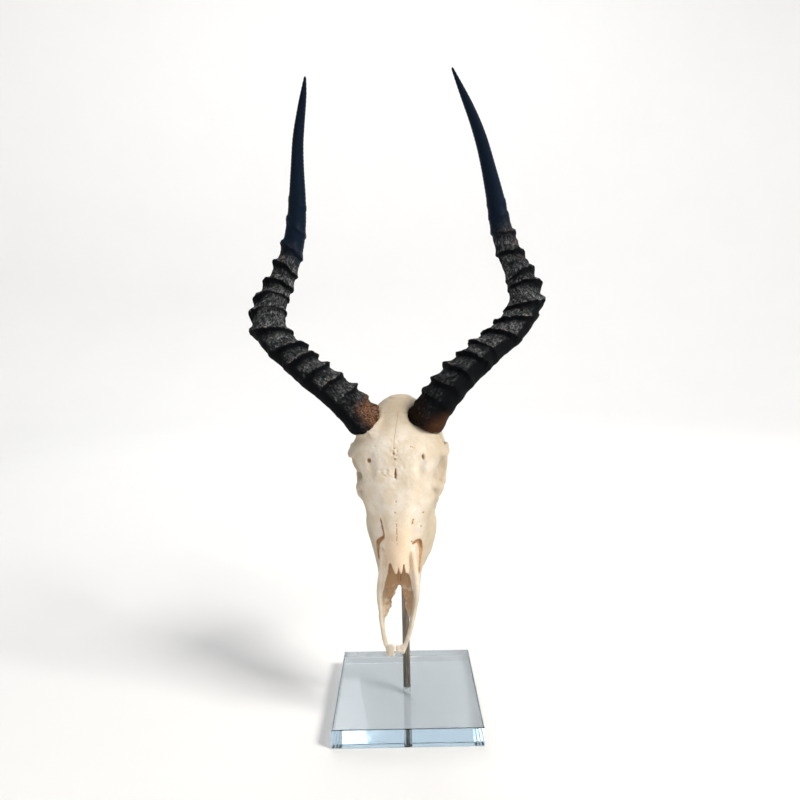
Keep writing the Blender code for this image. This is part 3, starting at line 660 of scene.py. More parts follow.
def steps_along(place, start, way):
    """How far every place of a grid lies from the start, measured along a direction."""
    x, y, z = place
    return (x - start[0]) * way[0] + (y - start[1]) * way[1] + (z - start[2]) * way[2]


class BoneField:
    """Signed distances to the bone on a grid of points, negative inside, in the skull's frame."""

    def __init__(self, x, y, z):
        self.axes = (x, y, z)
        self.values = np.full((len(x), len(y), len(z)), FAR, np.float32)

    def window(self, low, high):
        """The part of the grid between two corners, and its coordinates."""
        part = tuple(
            slice(int(np.searchsorted(axis, a)), int(np.searchsorted(axis, b)))
            for axis, a, b in zip(self.axes, low, high)
        )
        return part, *self.coordinates(part)

    def coordinates(self, part):
        """The coordinates of a part of the grid, shaped to be added to each other."""
        x, y, z = (axis[cut] for axis, cut in zip(self.axes, part))
        return x[:, None, None], y[None, :, None], z[None, None, :]

    def join(self, part, distance, fillet):
        """Adds a form with a fillet where it meets the bone."""
        self.values[part] = smooth_least(self.values[part], distance, fillet)

    def cut(self, part, distance, rounding):
        """Takes a form away and rounds the edge that this leaves."""
        self.values[part] = -smooth_least(-self.values[part], distance, rounding)

    def add(self, shape, form):
        """Joins a bar or an ellipsoid, whose numbers end with its fillet."""
        self.join(*shape(*form), form[-1])

    def take(self, shape, form):
        """Cuts a bar or an ellipsoid away, whose numbers end with the rounding of its edge."""
        self.cut(*shape(*form), form[-1])

    def ellipsoid(self, middle, half_sizes, fillet):
        """One ellipsoid, worked out in the window that its fillet reaches."""
        middle = np.array(middle, float)
        reach = np.array(half_sizes) + fillet + 3
        part, x, y, z = self.window(middle - reach, middle + reach)
        distance = ellipsoid_distance(x - middle[0], y - middle[1], z - middle[2], half_sizes)
        return part, distance.astype(np.float32)

    def chain(self, line, frames, half_sizes, fillet):
        """The union of ellipsoids set close together along a line. frames holds the side, outward and forward
        direction of each, half_sizes its half sizes along them."""
        reach = half_sizes.max() + fillet + 3
        whole, *_ = self.window(line.min(axis=0) - reach, line.max(axis=0) + reach)
        distance = np.full([cut.stop - cut.start for cut in whole], FAR, np.float32)
        for middle, turned, sizes in zip(line, frames, half_sizes):
            near = sizes.max() + fillet + 2
            part, *place = self.window(middle - near, middle + near)
            offsets = [steps_along(place, middle, way) for way in turned]
            local = tuple(
                slice(cut.start - outer.start, cut.stop - outer.start) for cut, outer in zip(part, whole)
            )
            distance[local] = np.minimum(distance[local], ellipsoid_distance(*offsets, sizes))
        return whole, distance

    def bar(self, points, half_widths, half_depths, fillet):
        """An ellipse carried along the points: a chain whose width is square to the facing direction."""
        points = np.asarray(points, float)
        knots = lengths_along(points)
        at = np.linspace(0, knots[-1], int(knots[-1] / BAR_STATION_GAP) + 2)
        line = smooth_line(knots, points, at)
        width = smooth_line(knots, half_widths, at)
        depth = smooth_line(knots, half_depths, at)
        along = unit(np.gradient(line, at, axis=0))
        side = unit(np.cross(along, BAR_FACING))
        out = np.cross(side, along)
        length = np.maximum((width + depth) / 2, LEAST_STATION_LENGTH)
        sizes = np.stack([width, depth, length], axis=1)
        return self.chain(line, np.stack([side, out, along], axis=1), sizes, fillet)

    def body(self):
        """The body: at each level the distance to the smooth outline through that level's section."""
        heights = np.array([row[0] for row in BODY_SECTIONS], float)
        outlines = np.array([row[1:] for row in BODY_SECTIONS], float)
        x, y, z = self.axes
        for level, height in enumerate(z):
            inside_height = np.clip(height, heights[0], heights[-1])
            half = smooth_line(heights, outlines, np.array([inside_height]))[0]
            flat = outline_distance(smooth_outline(half), x, y)
            beyond = abs(height - inside_height)
            if beyond > 0:
                flat = np.hypot(np.maximum(flat, 0), beyond)
            self.values[:, :, level] = flat
        slopes = np.gradient(self.values, x, y, z)
        steepness = np.sqrt(sum(slope**2 for slope in slopes))
        self.values /= np.maximum(steepness, 1)

    def plate(self, outline, depth, half_thickness, lean):
        """A flat plate across the view: a closed outline in width and height, thin in depth, which leans back
        as it runs inwards."""
        outline = np.array(outline + outline[:1], float)
        low, high = outline.min(axis=0) - 3, outline.max(axis=0) + 3
        part, x, y, z = self.window((low[0], depth - 6, low[1]), (high[0], depth + 6, high[1]))
        flat = outline_distance(outline, x[:, 0, 0], z[0, 0])[:, None, :]
        across = np.abs(y - depth - lean * (np.abs(x) - BLADE_LEAN_FROM)) - half_thickness
        outside = np.hypot(np.maximum(flat + BLADE_ROUND, 0), np.maximum(across + BLADE_ROUND, 0))
        inside = np.minimum(np.maximum(flat, across) + BLADE_ROUND, 0)
        return part, (outside + inside - BLADE_ROUND).astype(np.float32)

    def mirrored(self):
        """The whole field from the half where x is above 0."""
        x, y, z = self.axes
        whole = BoneField(np.concatenate([-x[::-1], x]), y, z)
        whole.values = np.concatenate([self.values[::-1], self.values])
        return whole


def smooth_outline(half):
    """A smooth line through half an outline that starts and ends on the middle plane."""
    mirror = (-1, 1)
    wrapped = np.concatenate([half[1:2] * mirror, half, half[-2:-1] * mirror])
    knots = lengths_along(wrapped)
    return smooth_line(knots, wrapped, np.linspace(knots[1], knots[-2], OUTLINE_POINTS))


def outline_distance(outline, x, y):
    """Signed distance in one plane from every grid point to the outline's nearest segment. A point is inside
    when a ray along the first axis crosses the outline an odd number of times."""
    start, end = outline[:-1], outline[1:]
    way = end - start
    px = x[:, None, None] - start[:, 0]
    py = y[None, :, None] - start[:, 1]
    share = np.clip((px * way[:, 0] + py * way[:, 1]) / (way**2).sum(axis=1), 0, 1)
    nearest = np.sqrt(((px - share * way[:, 0]) ** 2 + (py - share * way[:, 1]) ** 2).min(axis=2))
    straddles = (py < 0) != (y[None, :, None] < end[:, 1])
    rise = np.where(np.abs(way[:, 1]) < 1e-9, 1e-9, way[:, 1])
    crossed = straddles & (px < py * way[:, 0] / rise)
    inside = crossed.sum(axis=2) % 2 == 1
    return np.where(inside, -nearest, nearest)


class HornLine:
    """The middle line of one horn with its frames and radius, in millimetres, from the foot to the tip."""

    def __init__(self, side):
        self.points = np.array(HORN_PATHS[side], float)
        self.knots = lengths_along(self.points)
        self.length = self.knots[-1]
        self.rings = HORN_RINGS[side]
        self.ring_inner = RING_INNER[side]
        self.hooks_from = HOOKS_FROM[side]
        self.smooth_from = SMOOTH_FROM[side]
        self.grey_from = GREY_FROM[side]
        self.black_near_foot = BLACK_NEAR_FOOT[side]
        self.core_at, self.inner, self.outer = np.array(HORN_CORES[side], float)
        self.droop = FOOT_DROOP[side]
        self.lateral_sign = 1 if side == "left" else -1

    def place(self, at):
        """The point of the middle line at a distance from the foot."""
        return smooth_line(self.knots, self.points, at)

    def frames(self, at):
        """Side, outward and forward directions: the side is square to the forward direction and to +Y."""
        low = self.place(np.clip(at - 1, 0, self.length))
        high = self.place(np.clip(at + 1, 0, self.length))
        along = unit(high - low)
        side = unit(np.cross(along, (0, 1, 0)))
        return side, np.cross(side, along), along

    def radius(self, at):
        """The mean radius, which the bone under the foot follows."""
        return smooth_line(HORN_RADIUS_AT, HORN_RADIUS, np.clip(at, 0, self.length) / self.length)

    def core(self, at, lateral):
        """The radius between the rings: lateral is 1 on the outer side and -1 on the inner side."""
        at = np.minimum(at, self.length)
        inner = smooth_line(self.core_at, self.inner, at)
        outer = smooth_line(self.core_at, self.outer, at)
        return (inner + outer) / 2 + lateral * (outer - inner) / 2


def horn_stations(form, at, radius, thickness):
    """Discs along a horn's line, read in the skull's frame, for the bone under the horn."""
    inside = np.clip(at, 0, None)
    side, out, along = form.frames(inside)
    line = form.place(inside) + along * np.minimum(at, 0)[:, None]
    turned = np.stack([side, out, along], axis=1)
    turn_back = np.array([(TURN_COS, TURN_SIN, 0), (-TURN_SIN, TURN_COS, 0), (0, 0, 1)])
    sizes = np.stack([radius, radius, np.full(len(at), thickness)], axis=1)
    return world_to_skull(line), turned @ turn_back.T, sizes


def fit_horns(bone):
    """Swells the brow to each horn's foot, cuts it back from the sheath and sets the stump into the cup."""
    for side in HORN_PATHS:
        form = HornLine(side)
        drop = np.arange(0.0, ROOT_TAPER_AT[-1] + 1, 1.0)
        scale = smooth_line(ROOT_TAPER_AT, ROOT_TAPER, drop)
        root = horn_stations(form, -drop, HORN_RADIUS[0] * scale, 2.5)
        bone.join(*bone.chain(*root, ROOT_FILLET), ROOT_FILLET)
        at = np.arange(0.0, SHEATH_FIT_LENGTH, 1.5)
        line, turned, sizes = horn_stations(form, at, form.radius(at) + SHEATH_MARGIN, 3)
        part, sheath = bone.chain(line, turned, sizes, 1)
        place = bone.coordinates(part)
        _, out, forward = turned[0]
        ahead = -steps_along(place, line[0], out)
        beyond = steps_along(place, line[0], forward) + form.droop * np.clip(ahead / HORN_RADIUS[0], 0, 1)
        bone.cut(part, np.maximum(sheath, -beyond - CLEARANCE), SHEATH_CUT_ROUND)
        at = np.arange(-PEDICLE_SINK, SHEATH_CUP_DEPTH - STUMP_GAP, 0.8)
        stump = horn_stations(form, at, form.radius(np.clip(at, 0, None)) - SHEATH_WALL - CLEARANCE, 2)
        bone.join(*bone.chain(*stump, 1), 1)


def cut_nose(bone):
    """The open nose below the nasals' tips: a trough with a rounded floor, cut from the front, and the tunnel
    behind it."""
    levels = np.array(sorted(NOSE_OPENING))
    part, x, y, z = bone.window((0, -75, 130), (22, -20, 182))
    half_width = np.interp(z, levels[:, 0], levels[:, 1])
    floor = np.interp(z, levels[:, 0], levels[:, 2])
    sunk = np.maximum(y - (floor - NOSE_FLOOR_ROUND), 0)
    trough = (np.sqrt((x / half_width) ** 2 + (sunk / NOSE_FLOOR_ROUND) ** 2) - 1) * NOSE_FLOOR_ROUND
    trough = np.maximum(trough, np.maximum(z - levels[-1, 0], levels[0, 0] - z))
    bone.cut(part, trough.astype(np.float32), 1.5)
    bone.take(bone.bar, NOSE_TUNNEL)


def cut_nasal_tips(bone):
    """Cuts the thin roof of the nose along the nasals' jagged lower edge, over both sides."""
    edge = np.array(NASAL_EDGE, float)
    part, x, y, z = bone.window((-16, -76, 160), (16, NASAL_PLATE_BACK + 2, 194))
    end = np.interp(x, edge[:, 0], edge[:, 1])
    steepness = np.sqrt(1 + np.gradient(end[:, 0, 0], x[:, 0, 0]) ** 2)[:, None, None]
    below = (z - end) / steepness
    beside = np.abs(x) - edge[-1, 0]
    bone.cut(part, np.maximum(np.maximum(below, beside), y - NASAL_PLATE_BACK).astype(np.float32), 0.8)


def row_place(height):
    """The middle of the tooth row at a height: across and back."""
    share = (height - ROW_LOW[0]) / (ROW_HIGH[0] - ROW_LOW[0])
    across = ROW_LOW[1] + (ROW_HIGH[1] - ROW_LOW[1]) * share
    back = ROW_LOW[2] + (ROW_HIGH[2] - ROW_LOW[2]) * share
    return across, back


def cut_sockets(bone):
    """Room for every tooth: an elliptical hole, larger than the tooth by the clearance, along +Y."""
    for height, length, width in TOOTH_ROW:
        across, back = row_place(height)
        low = (across - 12, back - 14, height - 12)
        high = (across + 12, back + 16, height + 12)
        part, x, y, z = bone.window(low, high)
        half_width, half_length = width / 2 + CLEARANCE, length / 2 + CLEARANCE
        around = np.sqrt(((x - across) / half_width) ** 2 + ((z - height) / half_length) ** 2) - 1
        deep = y - back - ROW_SLOPE * (z - height) + TOOTH_ROOT + CLEARANCE
        bone.cut(part, np.maximum(around * half_width, -deep).astype(np.float32), 0.6)


def cut_rod_hole(bone):
    """A blind round hole along the upright for the rod's upper end."""
    middle = world_to_skull(np.zeros(3))
    top = ROD_HIGH.z / MM + CLEARANCE
    part, x, y, z = bone.window((middle[0] - 9, middle[1] - 9, 200), (middle[0] + 9, middle[1] + 9, top + 4))
    around = np.hypot(x - middle[0], y - middle[1]) - ROD_RADIUS / MM - CLEARANCE
    bone.cut(part, np.maximum(around, z - top).astype(np.float32), 0.5)


def bone_field():
    """The whole skull: lumps and bars joined, hollows and slits cut, then fitted to horns, teeth and rod."""
    steps = np.array(GRID_STEP)
    x = np.arange(0.5 * steps[0], GRID_HIGH[0], steps[0])
    y = np.arange(GRID_LOW[1], GRID_HIGH[1], steps[1])
    z = np.arange(GRID_LOW[2], GRID_HIGH[2], steps[2])
    half = BoneField(x, y, z)
    half.body()
    for form in SWELLINGS.values():
        half.add(half.ellipsoid, form)
    for form in BARS.values():
        half.add(half.bar, form)
    for form in HOLLOWS.values():
        half.take(half.ellipsoid, form)
    cut_nose(half)
    for form in NOSE_BONES.values():
        half.add(half.bar, form)
    for slit in (NASAL_SEAM, BROW_SLIT):
        half.take(half.bar, slit)
    cut_sockets(half)
    bone = half.mirrored()
    cut_nasal_tips(bone)
    bone.add(bone.bar, RIGHT_CHEEK)
    bone.take(bone.ellipsoid, RIGHT_ARCH_CUT)
    for rim in (LEFT_RIM, RIGHT_RIM):
        bone.add(bone.bar, rim)
    for outline in PRONG_BLADES:
        bone.join(*bone.plate(outline, BLADE_DEPTH, BLADE_HALF_THICKNESS, BLADE_LEAN), BLADE_FILLET)
    for slit in (*FISSURES, PRONG_GAP):
        bone.take(bone.bar, slit)
    for hole in BROW_HOLES:
        bone.take(bone.ellipsoid, hole)
    fit_horns(bone)
    cut_rod_hole(bone)
    return bone


def near_bars(points, bars, reach):
    """1 at the middle of a cut bar's path, and 0 beyond its half width and reach."""
    found = np.zeros(len(points))
    for path, widths, _, _ in bars:
        path = np.asarray(path, float)
        knots = lengths_along(path)
        at = np.arange(0, knots[-1], 1.0)
        line = smooth_line(knots, path, at)
        width = smooth_line(knots, widths, at)
        near = (points[:, 2] > line[:, 2].min() - 5) & (points[:, 2] < line[:, 2].max() + 5)
        near = np.nonzero(near & (points[:, 1] < -35))[0]
        away = points[near, None] - line
        away[..., 1] = np.maximum(np.abs(away[..., 1]) - 5, 0)
        share = ease(reach, 0, np.linalg.norm(away, axis=2) - width).max(axis=1)
        found[near] = np.maximum(found[near], share)
    return found


def face_spots(points, spots, edge, middle):
    """1 inside each oval spot of the face, 0 outside them all, with edge and middle as shares of their
    half sizes."""
    found = np.zeros(len(points))
    for across, height, half_width, half_height in spots:
        away = np.hypot((points[:, 0] - across) / half_width, (points[:, 2] - height) / half_height)
        found = np.maximum(found, ease(edge, middle, away))
    return found * (points[:, 1] < -38)


def face_pits(points):
    """1 in the small pits of the face, and a lower value around the brow holes."""
    round_pits = [(across, height, radius, radius) for across, height, radius in FACE_PITS]
    holes = [(middle[0], middle[2], sizes[0], sizes[2]) for middle, sizes, _ in BROW_HOLES]
    return np.maximum(face_spots(points, round_pits, 1.2, 0.3), 0.6 * face_spots(points, holes, 1.05, 0.5))


def nose_inside(points):
    """1 on the walls of the nose's hollow, 0 elsewhere: inside the tunnel's ellipse swelled a little."""
    path, widths, depths, _ = NOSE_TUNNEL
    path = np.asarray(path, float)
    height = np.clip(points[:, 2], path[0, 2], path[-1, 2])
    middle = np.interp(height, path[:, 2], path[:, 1])
    wide = np.interp(height, path[:, 2], widths) + 1.2
    deep = np.interp(height, path[:, 2], depths) + 0.9 + 3.5 * ease(162, 155, points[:, 2])
    away = np.hypot(points[:, 0] / wide, (points[:, 1] - middle) / deep)
    return ease(1.08, 0.98, away) * ease(108, 140, points[:, 2]) * ease(226, 222, points[:, 2])


def cut_axis(axis, start, stop):
    """An index that keeps a stretch of one axis and the whole of the other two."""
    cut = [slice(None)] * 3
    cut[axis] = slice(start, stop)
    return tuple(cut)


def summed_at(index, vectors, count):
    """The sum of the vectors that belong to each index."""
    return np.stack([np.bincount(index, vectors[:, k], count) for k in range(3)], axis=1)


def surface_net(bone):
    """Points and quads where the field is 0. Every grid cell that the surface crosses gets one point, the
    mean of the crossings on its edges; every crossed grid edge gets one quad, through the four cells around
    it."""
    field = bone.values
    inside = field < 0
    cells = tuple(size - 1 for size in field.shape)
    corners = sum(
        inside[i : i + cells[0], j : j + cells[1], k : k + cells[2]].astype(np.int8)
        for i, j, k in product((0, 1), repeat=3)
    )
    crossed = (corners > 0) & (corners < 8)
    index = np.full(cells, -1, np.int64)
    count = int(crossed.sum())
    index[crossed] = np.arange(count)
    total = np.zeros((count, 3))
    hits = np.zeros(count)
    quads = []
    for axis in range(3):
        first, second = field[cut_axis(axis, 0, -1)], field[cut_axis(axis, 1, None)]
        edge = np.stack(np.nonzero((first < 0) != (second < 0)))
        near, far = first[tuple(edge)], second[tuple(edge)]
        place = np.stack([line[spot] for line, spot in zip(bone.axes, edge)], axis=1)
        place[:, axis] += near / (near - far) * (bone.axes[axis][1] - bone.axes[axis][0])
        ring = []
        for step_beside, step_above in ((1, 1), (0, 1), (0, 0), (1, 0)):
            cell = edge.copy()
            cell[(axis + 1) % 3] -= step_beside
            cell[(axis + 2) % 3] -= step_above
            point = index[tuple(cell)]
            ring.append(point)
            hits += np.bincount(point, minlength=count)
            total += summed_at(point, place, count)
        ring = np.stack(ring, axis=1)
        quads.append(np.where((near < 0)[:, None], ring, ring[:, ::-1]))
    return total / hits[:, None], np.concatenate(quads)


def largest_part(points, quads):
    """Keeps the largest connected part: labels sink to the least of their neighbours' until none changes."""
    label = np.arange(len(points))
    ends = np.concatenate([quads[:, [0, 1]], quads[:, [1, 2]], quads[:, [2, 3]]])
    while True:
        low = np.minimum(label[ends[:, 0]], label[ends[:, 1]])
        sunk = label.copy()
        np.minimum.at(sunk, label[ends[:, 0]], low)
        np.minimum.at(sunk, label[ends[:, 1]], low)
        sunk = sunk[sunk]
        if np.array_equal(sunk, label):
            break
        label = sunk
    names, sizes = np.unique(label, return_counts=True)
    kept = label == names[sizes.argmax()]
    renumber = np.cumsum(kept) - 1
    return points[kept], renumber[quads[kept[quads[:, 0]]]]


def relax(points, quads, factor):
    """Moves every point towards the mean of the points that its edges lead to."""
    ends = np.concatenate([quads, np.roll(quads, -1, axis=1)], axis=1).reshape(-1, 2, 4)
    start, end = ends[:, 0].T.ravel(), ends[:, 1].T.ravel()
    count = len(points)
    met = np.bincount(start, minlength=count) + np.bincount(end, minlength=count)
    total = summed_at(start, points[end], count) + summed_at(end, points[start], count)
    return points + factor * (total / met[:, None] - points)


def point_normals(points, quads):
    """Outward directions: the crossed diagonals of the quads around each point, added up."""
    way = np.cross(points[quads[:, 2]] - points[quads[:, 0]], points[quads[:, 3]] - points[quads[:, 1]])
    normals = sum(summed_at(column, way, len(points)) for column in quads.T)
    return normals / (np.linalg.norm(normals, axis=1, keepdims=True) + 1e-12)


def read_field(values, axes, points):
    """The field between grid points, mixed from the eight around each place."""
    low = np.array([axis[0] for axis in axes])
    places = (points - low) / np.array([axis[1] - axis[0] for axis in axes])
    cells = np.clip(np.floor(places).astype(int), 0, np.array(values.shape) - 2)
    return mixed_corners(np.clip(places - cells, 0, 1), lambda step: values[tuple((cells + step).T)])


def filled_share(bone, reach):
    """How much of the box around every grid point is bone, as a running mean along each axis in turn."""
    share = np.clip(0.5 - bone.values / 1.6, 0, 1)
    for k, axis in enumerate(bone.axes):
        steps = max(1, round(reach / (axis[1] - axis[0])))
        pads = [(0, 0)] * 3
        pads[k] = (steps + 1, steps)
        sums = np.cumsum(np.pad(share, pads, mode="edge"), axis=k)
        wide = 2 * steps + 1
        share = (sums[cut_axis(k, wide, None)] - sums[cut_axis(k, 0, -wide)]) / wide
    return share


def bone_relief(points, near):
    """How far the surface stands out or in, in millimetres: broad unevenness, finer roughness on the brow, on
    edges and tips, knobbly patches and open pores."""
    front = ease(-20, -45, points[:, 1])
    brow = front * ease(256, 268, points[:, 2]) * ease(326, 306, points[:, 2])
    brow = brow * ease(40, 26, np.abs(points[:, 0]))
    broad = 0.30 * grain(points, 11, 3) + 0.18 * grain(points, 5.5, 4)
    rough = grain(points, 2.9, 5)
    pores = -ease(0.45, 0.75, grain(points, 2.6, 6))
    edges = ease(0.5, 0.36, near)
    tips = ease(98, 90, points[:, 2])
    knobbly = face_spots(points, KNOBBLY, 1.1, 0.5)
    palate = ease(108, 116, points[:, 2]) * ease(156, 148, points[:, 2]) * ease(-48, -44, points[:, 1])
    rough_share = 0.05 + 0.16 * brow + (0.10 + 1.1 * palate) * edges + 0.65 * tips + 0.85 * knobbly
    return broad + 0.8 * tips * broad + rough_share * rough + (0.08 + 0.25 * brow + 0.35 * knobbly) * pores


def make_skull(look):
    """The bone: the net of the field, relaxed and laid back on the field, roughened along its normals."""
    bone = bone_field()
    points, quads = largest_part(*surface_net(bone))
    for _ in range(RELAX_ROUNDS):
        points = relax(points, quads, RELAX_SHARE)
        normals = point_normals(points, quads)
        offset = np.clip(read_field(bone.values, bone.axes, points), -LAY_BACK_REACH, LAY_BACK_REACH)
        points = points - LAY_BACK_SHARE * offset[:, None] * normals
    normals = point_normals(points, quads)
    near = read_field(filled_share(bone, NEAR_REACH), bone.axes, points)
    wide = read_field(filled_share(bone, WIDE_REACH), bone.axes, points)
    pits = face_pits(points)
    numbers = {
        "near": near,
        "wide": wide,
        "pit": pits,
        "slit": np.maximum(near_bars(points, FISSURES, 0.6), near_bars(points, (BROW_SLIT,), 0.2)),
        "inner": nose_inside(points),
    }
    relief = look.bone_relief * bone_relief(points, near) - PIT_DEPTH * pits
    points = skull_to_world(points + normals * relief[:, None])
    new_piece("skull_bone", points, quads, (), bone_finish(look), "skull", numbers)


# The horns


def ring_heights(form, at, lateral, front, path):
    """How far the rings stand out at every point, how near each point is to a crest, and how far it lies
    under one, which the horn's finish paints as shade. A crest runs slanting and wavy around the horn. It
    falls steeply towards the foot and slowly towards the tip; on the inner side it is a knob with a rounded
    top, and on the outer side a hook."""
    wave = (2.2 * grain(path, 15, 21) + 1.0 * grain(path, 5.5, 22)) * ease(0, 25, at)
    wave = wave * (1 - 0.75 * lateral**2)
    inner, outer, ahead, behind = (
        np.interp(at, RING_AT, heights) for heights in (form.ring_inner, RING_OUTER, RING_FRONT, RING_BACK)
    )
    outer = np.minimum(outer, 0.6 + 4.4 * ease(form.hooks_from - 14, form.hooks_from, at))
    sides = lateral**2 * np.where(lateral > 0, outer, inner)
    face = front**2 * np.where(front > 0, ahead, behind)
    inward, outward = ease(0.2, 1, -lateral), ease(0.2, 1, lateral)
    top = 0.2 + 0.6 * inward + 1.3 * outward
    foot_side = 2.8 + 5.2 * outward
    tip_side = 11 - 4 * inward - 8.2 * outward
    reach = 8.5 + 9 * ease(-0.7, 0.5, lateral)
    total, crest, shade = (np.zeros_like(wave) for _ in range(3))
    places = [ring[0] for ring in form.rings] + [form.rings[-1][0] + 20]
    for (lip, tilt, strength, sideways), following in zip(form.rings, places[1:]):
        off = at - tilt * lateral + wave - lip
        above = np.minimum(tip_side, 0.8 * (following - lip))
        low = np.clip(1 - (np.abs(off) - top) / foot_side, 0, 1)
        high = np.clip(1 - (np.abs(off) - top) / above, 0, 1)
        stands = sides * sideways + face * strength
        shown = np.clip(stands / 2.4, 0, 1)
        total = np.maximum(total, np.where(off < 0, low**1.35, high**1.45) * stands)
        crest = np.maximum(crest, np.clip(1 - np.abs(off - 0.2) / 1.5, 0, 1) * shown)
        # Painted shade: how far below a crest each point lies, which the finish darkens
        shade = np.maximum(shade, np.where(off < -0.3, np.clip(1 + (off + 0.3) / reach, 0, 1), 0) * shown)
    uneven = 1 + 0.36 * grain(path, 7, 23) + 0.22 * grain(path, 3, 24)
    return total * uneven, crest, shade


def growth_steps(at):
    """Low regular steps on the smooth part of the horn: each rises slowly and ends short."""
    share = at / 4.2 + 0.15 * np.sin(at / 9)
    share = share - np.floor(share)
    return 0.32 * (share * ease(1, 0.8, share) - 0.4)


def horn_facing(form, at, lateral, front):
    """How grey the ringed part is: 1 in front, 0 on the smooth black outer side, and a little behind. The
    black reaches farther round below the hooks and near the foot. Besides the horn's own grey and black, the
    grey front is painted light and the black outer and lower side painted shade."""
    below = ease(form.hooks_from + 12, form.hooks_from - 20, at)
    near_foot = form.black_near_foot * ease(150, 90, at) * ease(-0.5, 0.2, lateral)
    facing = ease(*form.grey_from, front * (1 - 0.35 * below) - (0.95 * lateral * below + near_foot))
    return np.maximum(facing, 0.45 * ease(0.1, 0.9, -front))


def quarter_round(distance):
    """Rises from 0 at an end to 1 beyond the rounded length, as a quarter of a circle."""
    return np.sqrt(np.clip(1 - np.clip(1 - distance / END_ROUND, 0, 1) ** 2, 0, 1))


def horn_radii(form, look, at, lateral, path, rings, ringed, facing):
    """The core's radius with the rings, grains, pits, lumps and granules of the foot on it, growth steps
    above the rings, and round ends."""
    grains = 0.28 * grain(path * (1, 1, 0.6), 2.1, 25) + 0.45 * grain(path * (1, 1, 0.8), 4.2, 26)
    pits = -0.6 * ease(0.35, 0.75, grain(path * (1, 1, 0.7), 2.6, 27))
    lumps = 0.60 * grain(path * (1, 1, 1.5), 8, 28)
    rough = ringed * (0.30 + 0.70 * facing)
    collar = ease(22, 6, at) * facing
    granules = collar * (0.75 * grain(path, 3.0, 30) + 0.6 * grain(path, 1.9, 31))
    radius = form.core(at, lateral) + look.ring_height * rings + rough * (grains + pits) + lumps * ringed
    radius = radius + (1 - ringed) * growth_steps(at) * (0.35 + 0.65 * lateral**2) + granules
    return radius * quarter_round(form.length - at) - RIM_DRAWN_IN * (1 - quarter_round(at))


def horn_points(side, look):
    """A sheath as a function of the place along its middle line and the turn around it: the skin, whose foot
    is ragged and droops in front, then a rounded rim and a round cup in the foot."""
    form = HornLine(side)
    line_at = np.linspace(0, 1, HORN_ROWS) ** ROW_SPACING * (form.length - TIP_GAP)
    at = line_at[:, None]
    turn = turns(HORN_COLUMNS)
    sideways, out, along = form.frames(line_at)
    lateral = form.lateral_sign * np.cos(turn)[None, :]
    front = -np.sin(turn)[None, :]
    path = stacked(STRAIGHT_RADIUS * lateral, STRAIGHT_RADIUS * front, at)
    rings, crest, shade = ring_heights(form, at, lateral, front, path)
    ringed = 1 - ease(*form.smooth_from, at - 6 * lateral)
    facing = horn_facing(form, at, lateral, front)
    radius = horn_radii(form, look, at, lateral, path, rings, ringed, facing)
    near_foot = ease(14, 0, at)
    ragged = near_foot * (1.2 * grain(path, 6, 32) + 0.5 * grain(path, 2.6, 33))
    drop = ragged - form.droop * near_foot * np.clip(front, 0, 1)
    radial = np.cos(turn)[None, :, None] * sideways[:, None] + np.sin(turn)[None, :, None] * out[:, None]
    skin = form.place(line_at)[:, None] + along[:, None] * drop[..., None] + radial * radius[..., None]
    first, last = form.place(np.array([0.0, form.length]))
    cup_at, share, drop_share = np.array(CUP_ROWS, float).T[..., None]
    cup_radius = (HORN_RADIUS[0] - SHEATH_WALL) * (1 - share) + radius[0] * share
    cup = first + along[0] * (cup_at + drop[0] * drop_share)[..., None] + radial[0] * cup_radius[..., None]
    ones = np.ones_like(cup_radius)
    numbers = {
        "straight": np.concatenate([np.repeat(path[:1], len(cup), axis=0), path]),
        "crest": np.concatenate([0 * ones, crest]),
        # The painted shade under each crest, full in the cup
        "under": np.concatenate([ones, shade]),
        "ringed": np.concatenate([ones, ringed]),
        "facing": np.concatenate([0 * ones, facing]),
    }
    return np.concatenate([cup, skin]), (first + along[0] * SHEATH_CUP_DEPTH, last), numbers


def make_horn(side, look, finish):
    """The closed mesh of one sheath, with its own numbers for the material."""
    rows, poles, numbers = horn_points(side, look)
    points, quads, triangles = closed_grid(rows, *poles)
    # The turn around the middle line runs clockwise as seen from the tip, so the faces are reversed
    quads, triangles = quads[:, ::-1], triangles[:, ::-1]
    for key, values in numbers.items():
        flat = values.reshape(-1, 3) if values.ndim == 3 else values.ravel()
        ends = np.stack([flat[0], flat[-1]])
        numbers[key] = np.concatenate([flat, ends])
    new_piece(
        f"horn_sheath_{side}", points * MM, quads, triangles, finish, f"horn_{side}", numbers
    )


# The teeth


def tooth_outline(turn, length, width):
    """A crown's outline across and along the row: an oval with lobes, ribs on its outer side and a cleft on
    its inner side, deeper on a molar."""
    molar = length > MOLAR_LENGTH
    outer = np.clip(np.cos(turn), 0, None)
    inner = np.clip(-np.cos(turn), 0, None)
    along = np.sin(turn)
    lobes = 1 + (0.10 if molar else 0.03) * np.cos(2 * turn)
    ribs = 0.5 * outer * np.cos((7 if molar else 5) * along) ** 2
    clefts = (1.1 if molar else 0.3) * inner * np.exp(-((along / 0.22) ** 2))
    wide = np.cos(turn) * (width / 2 * 0.94 + ribs - clefts)
    return stacked(wide, along * length / 2 * lobes)


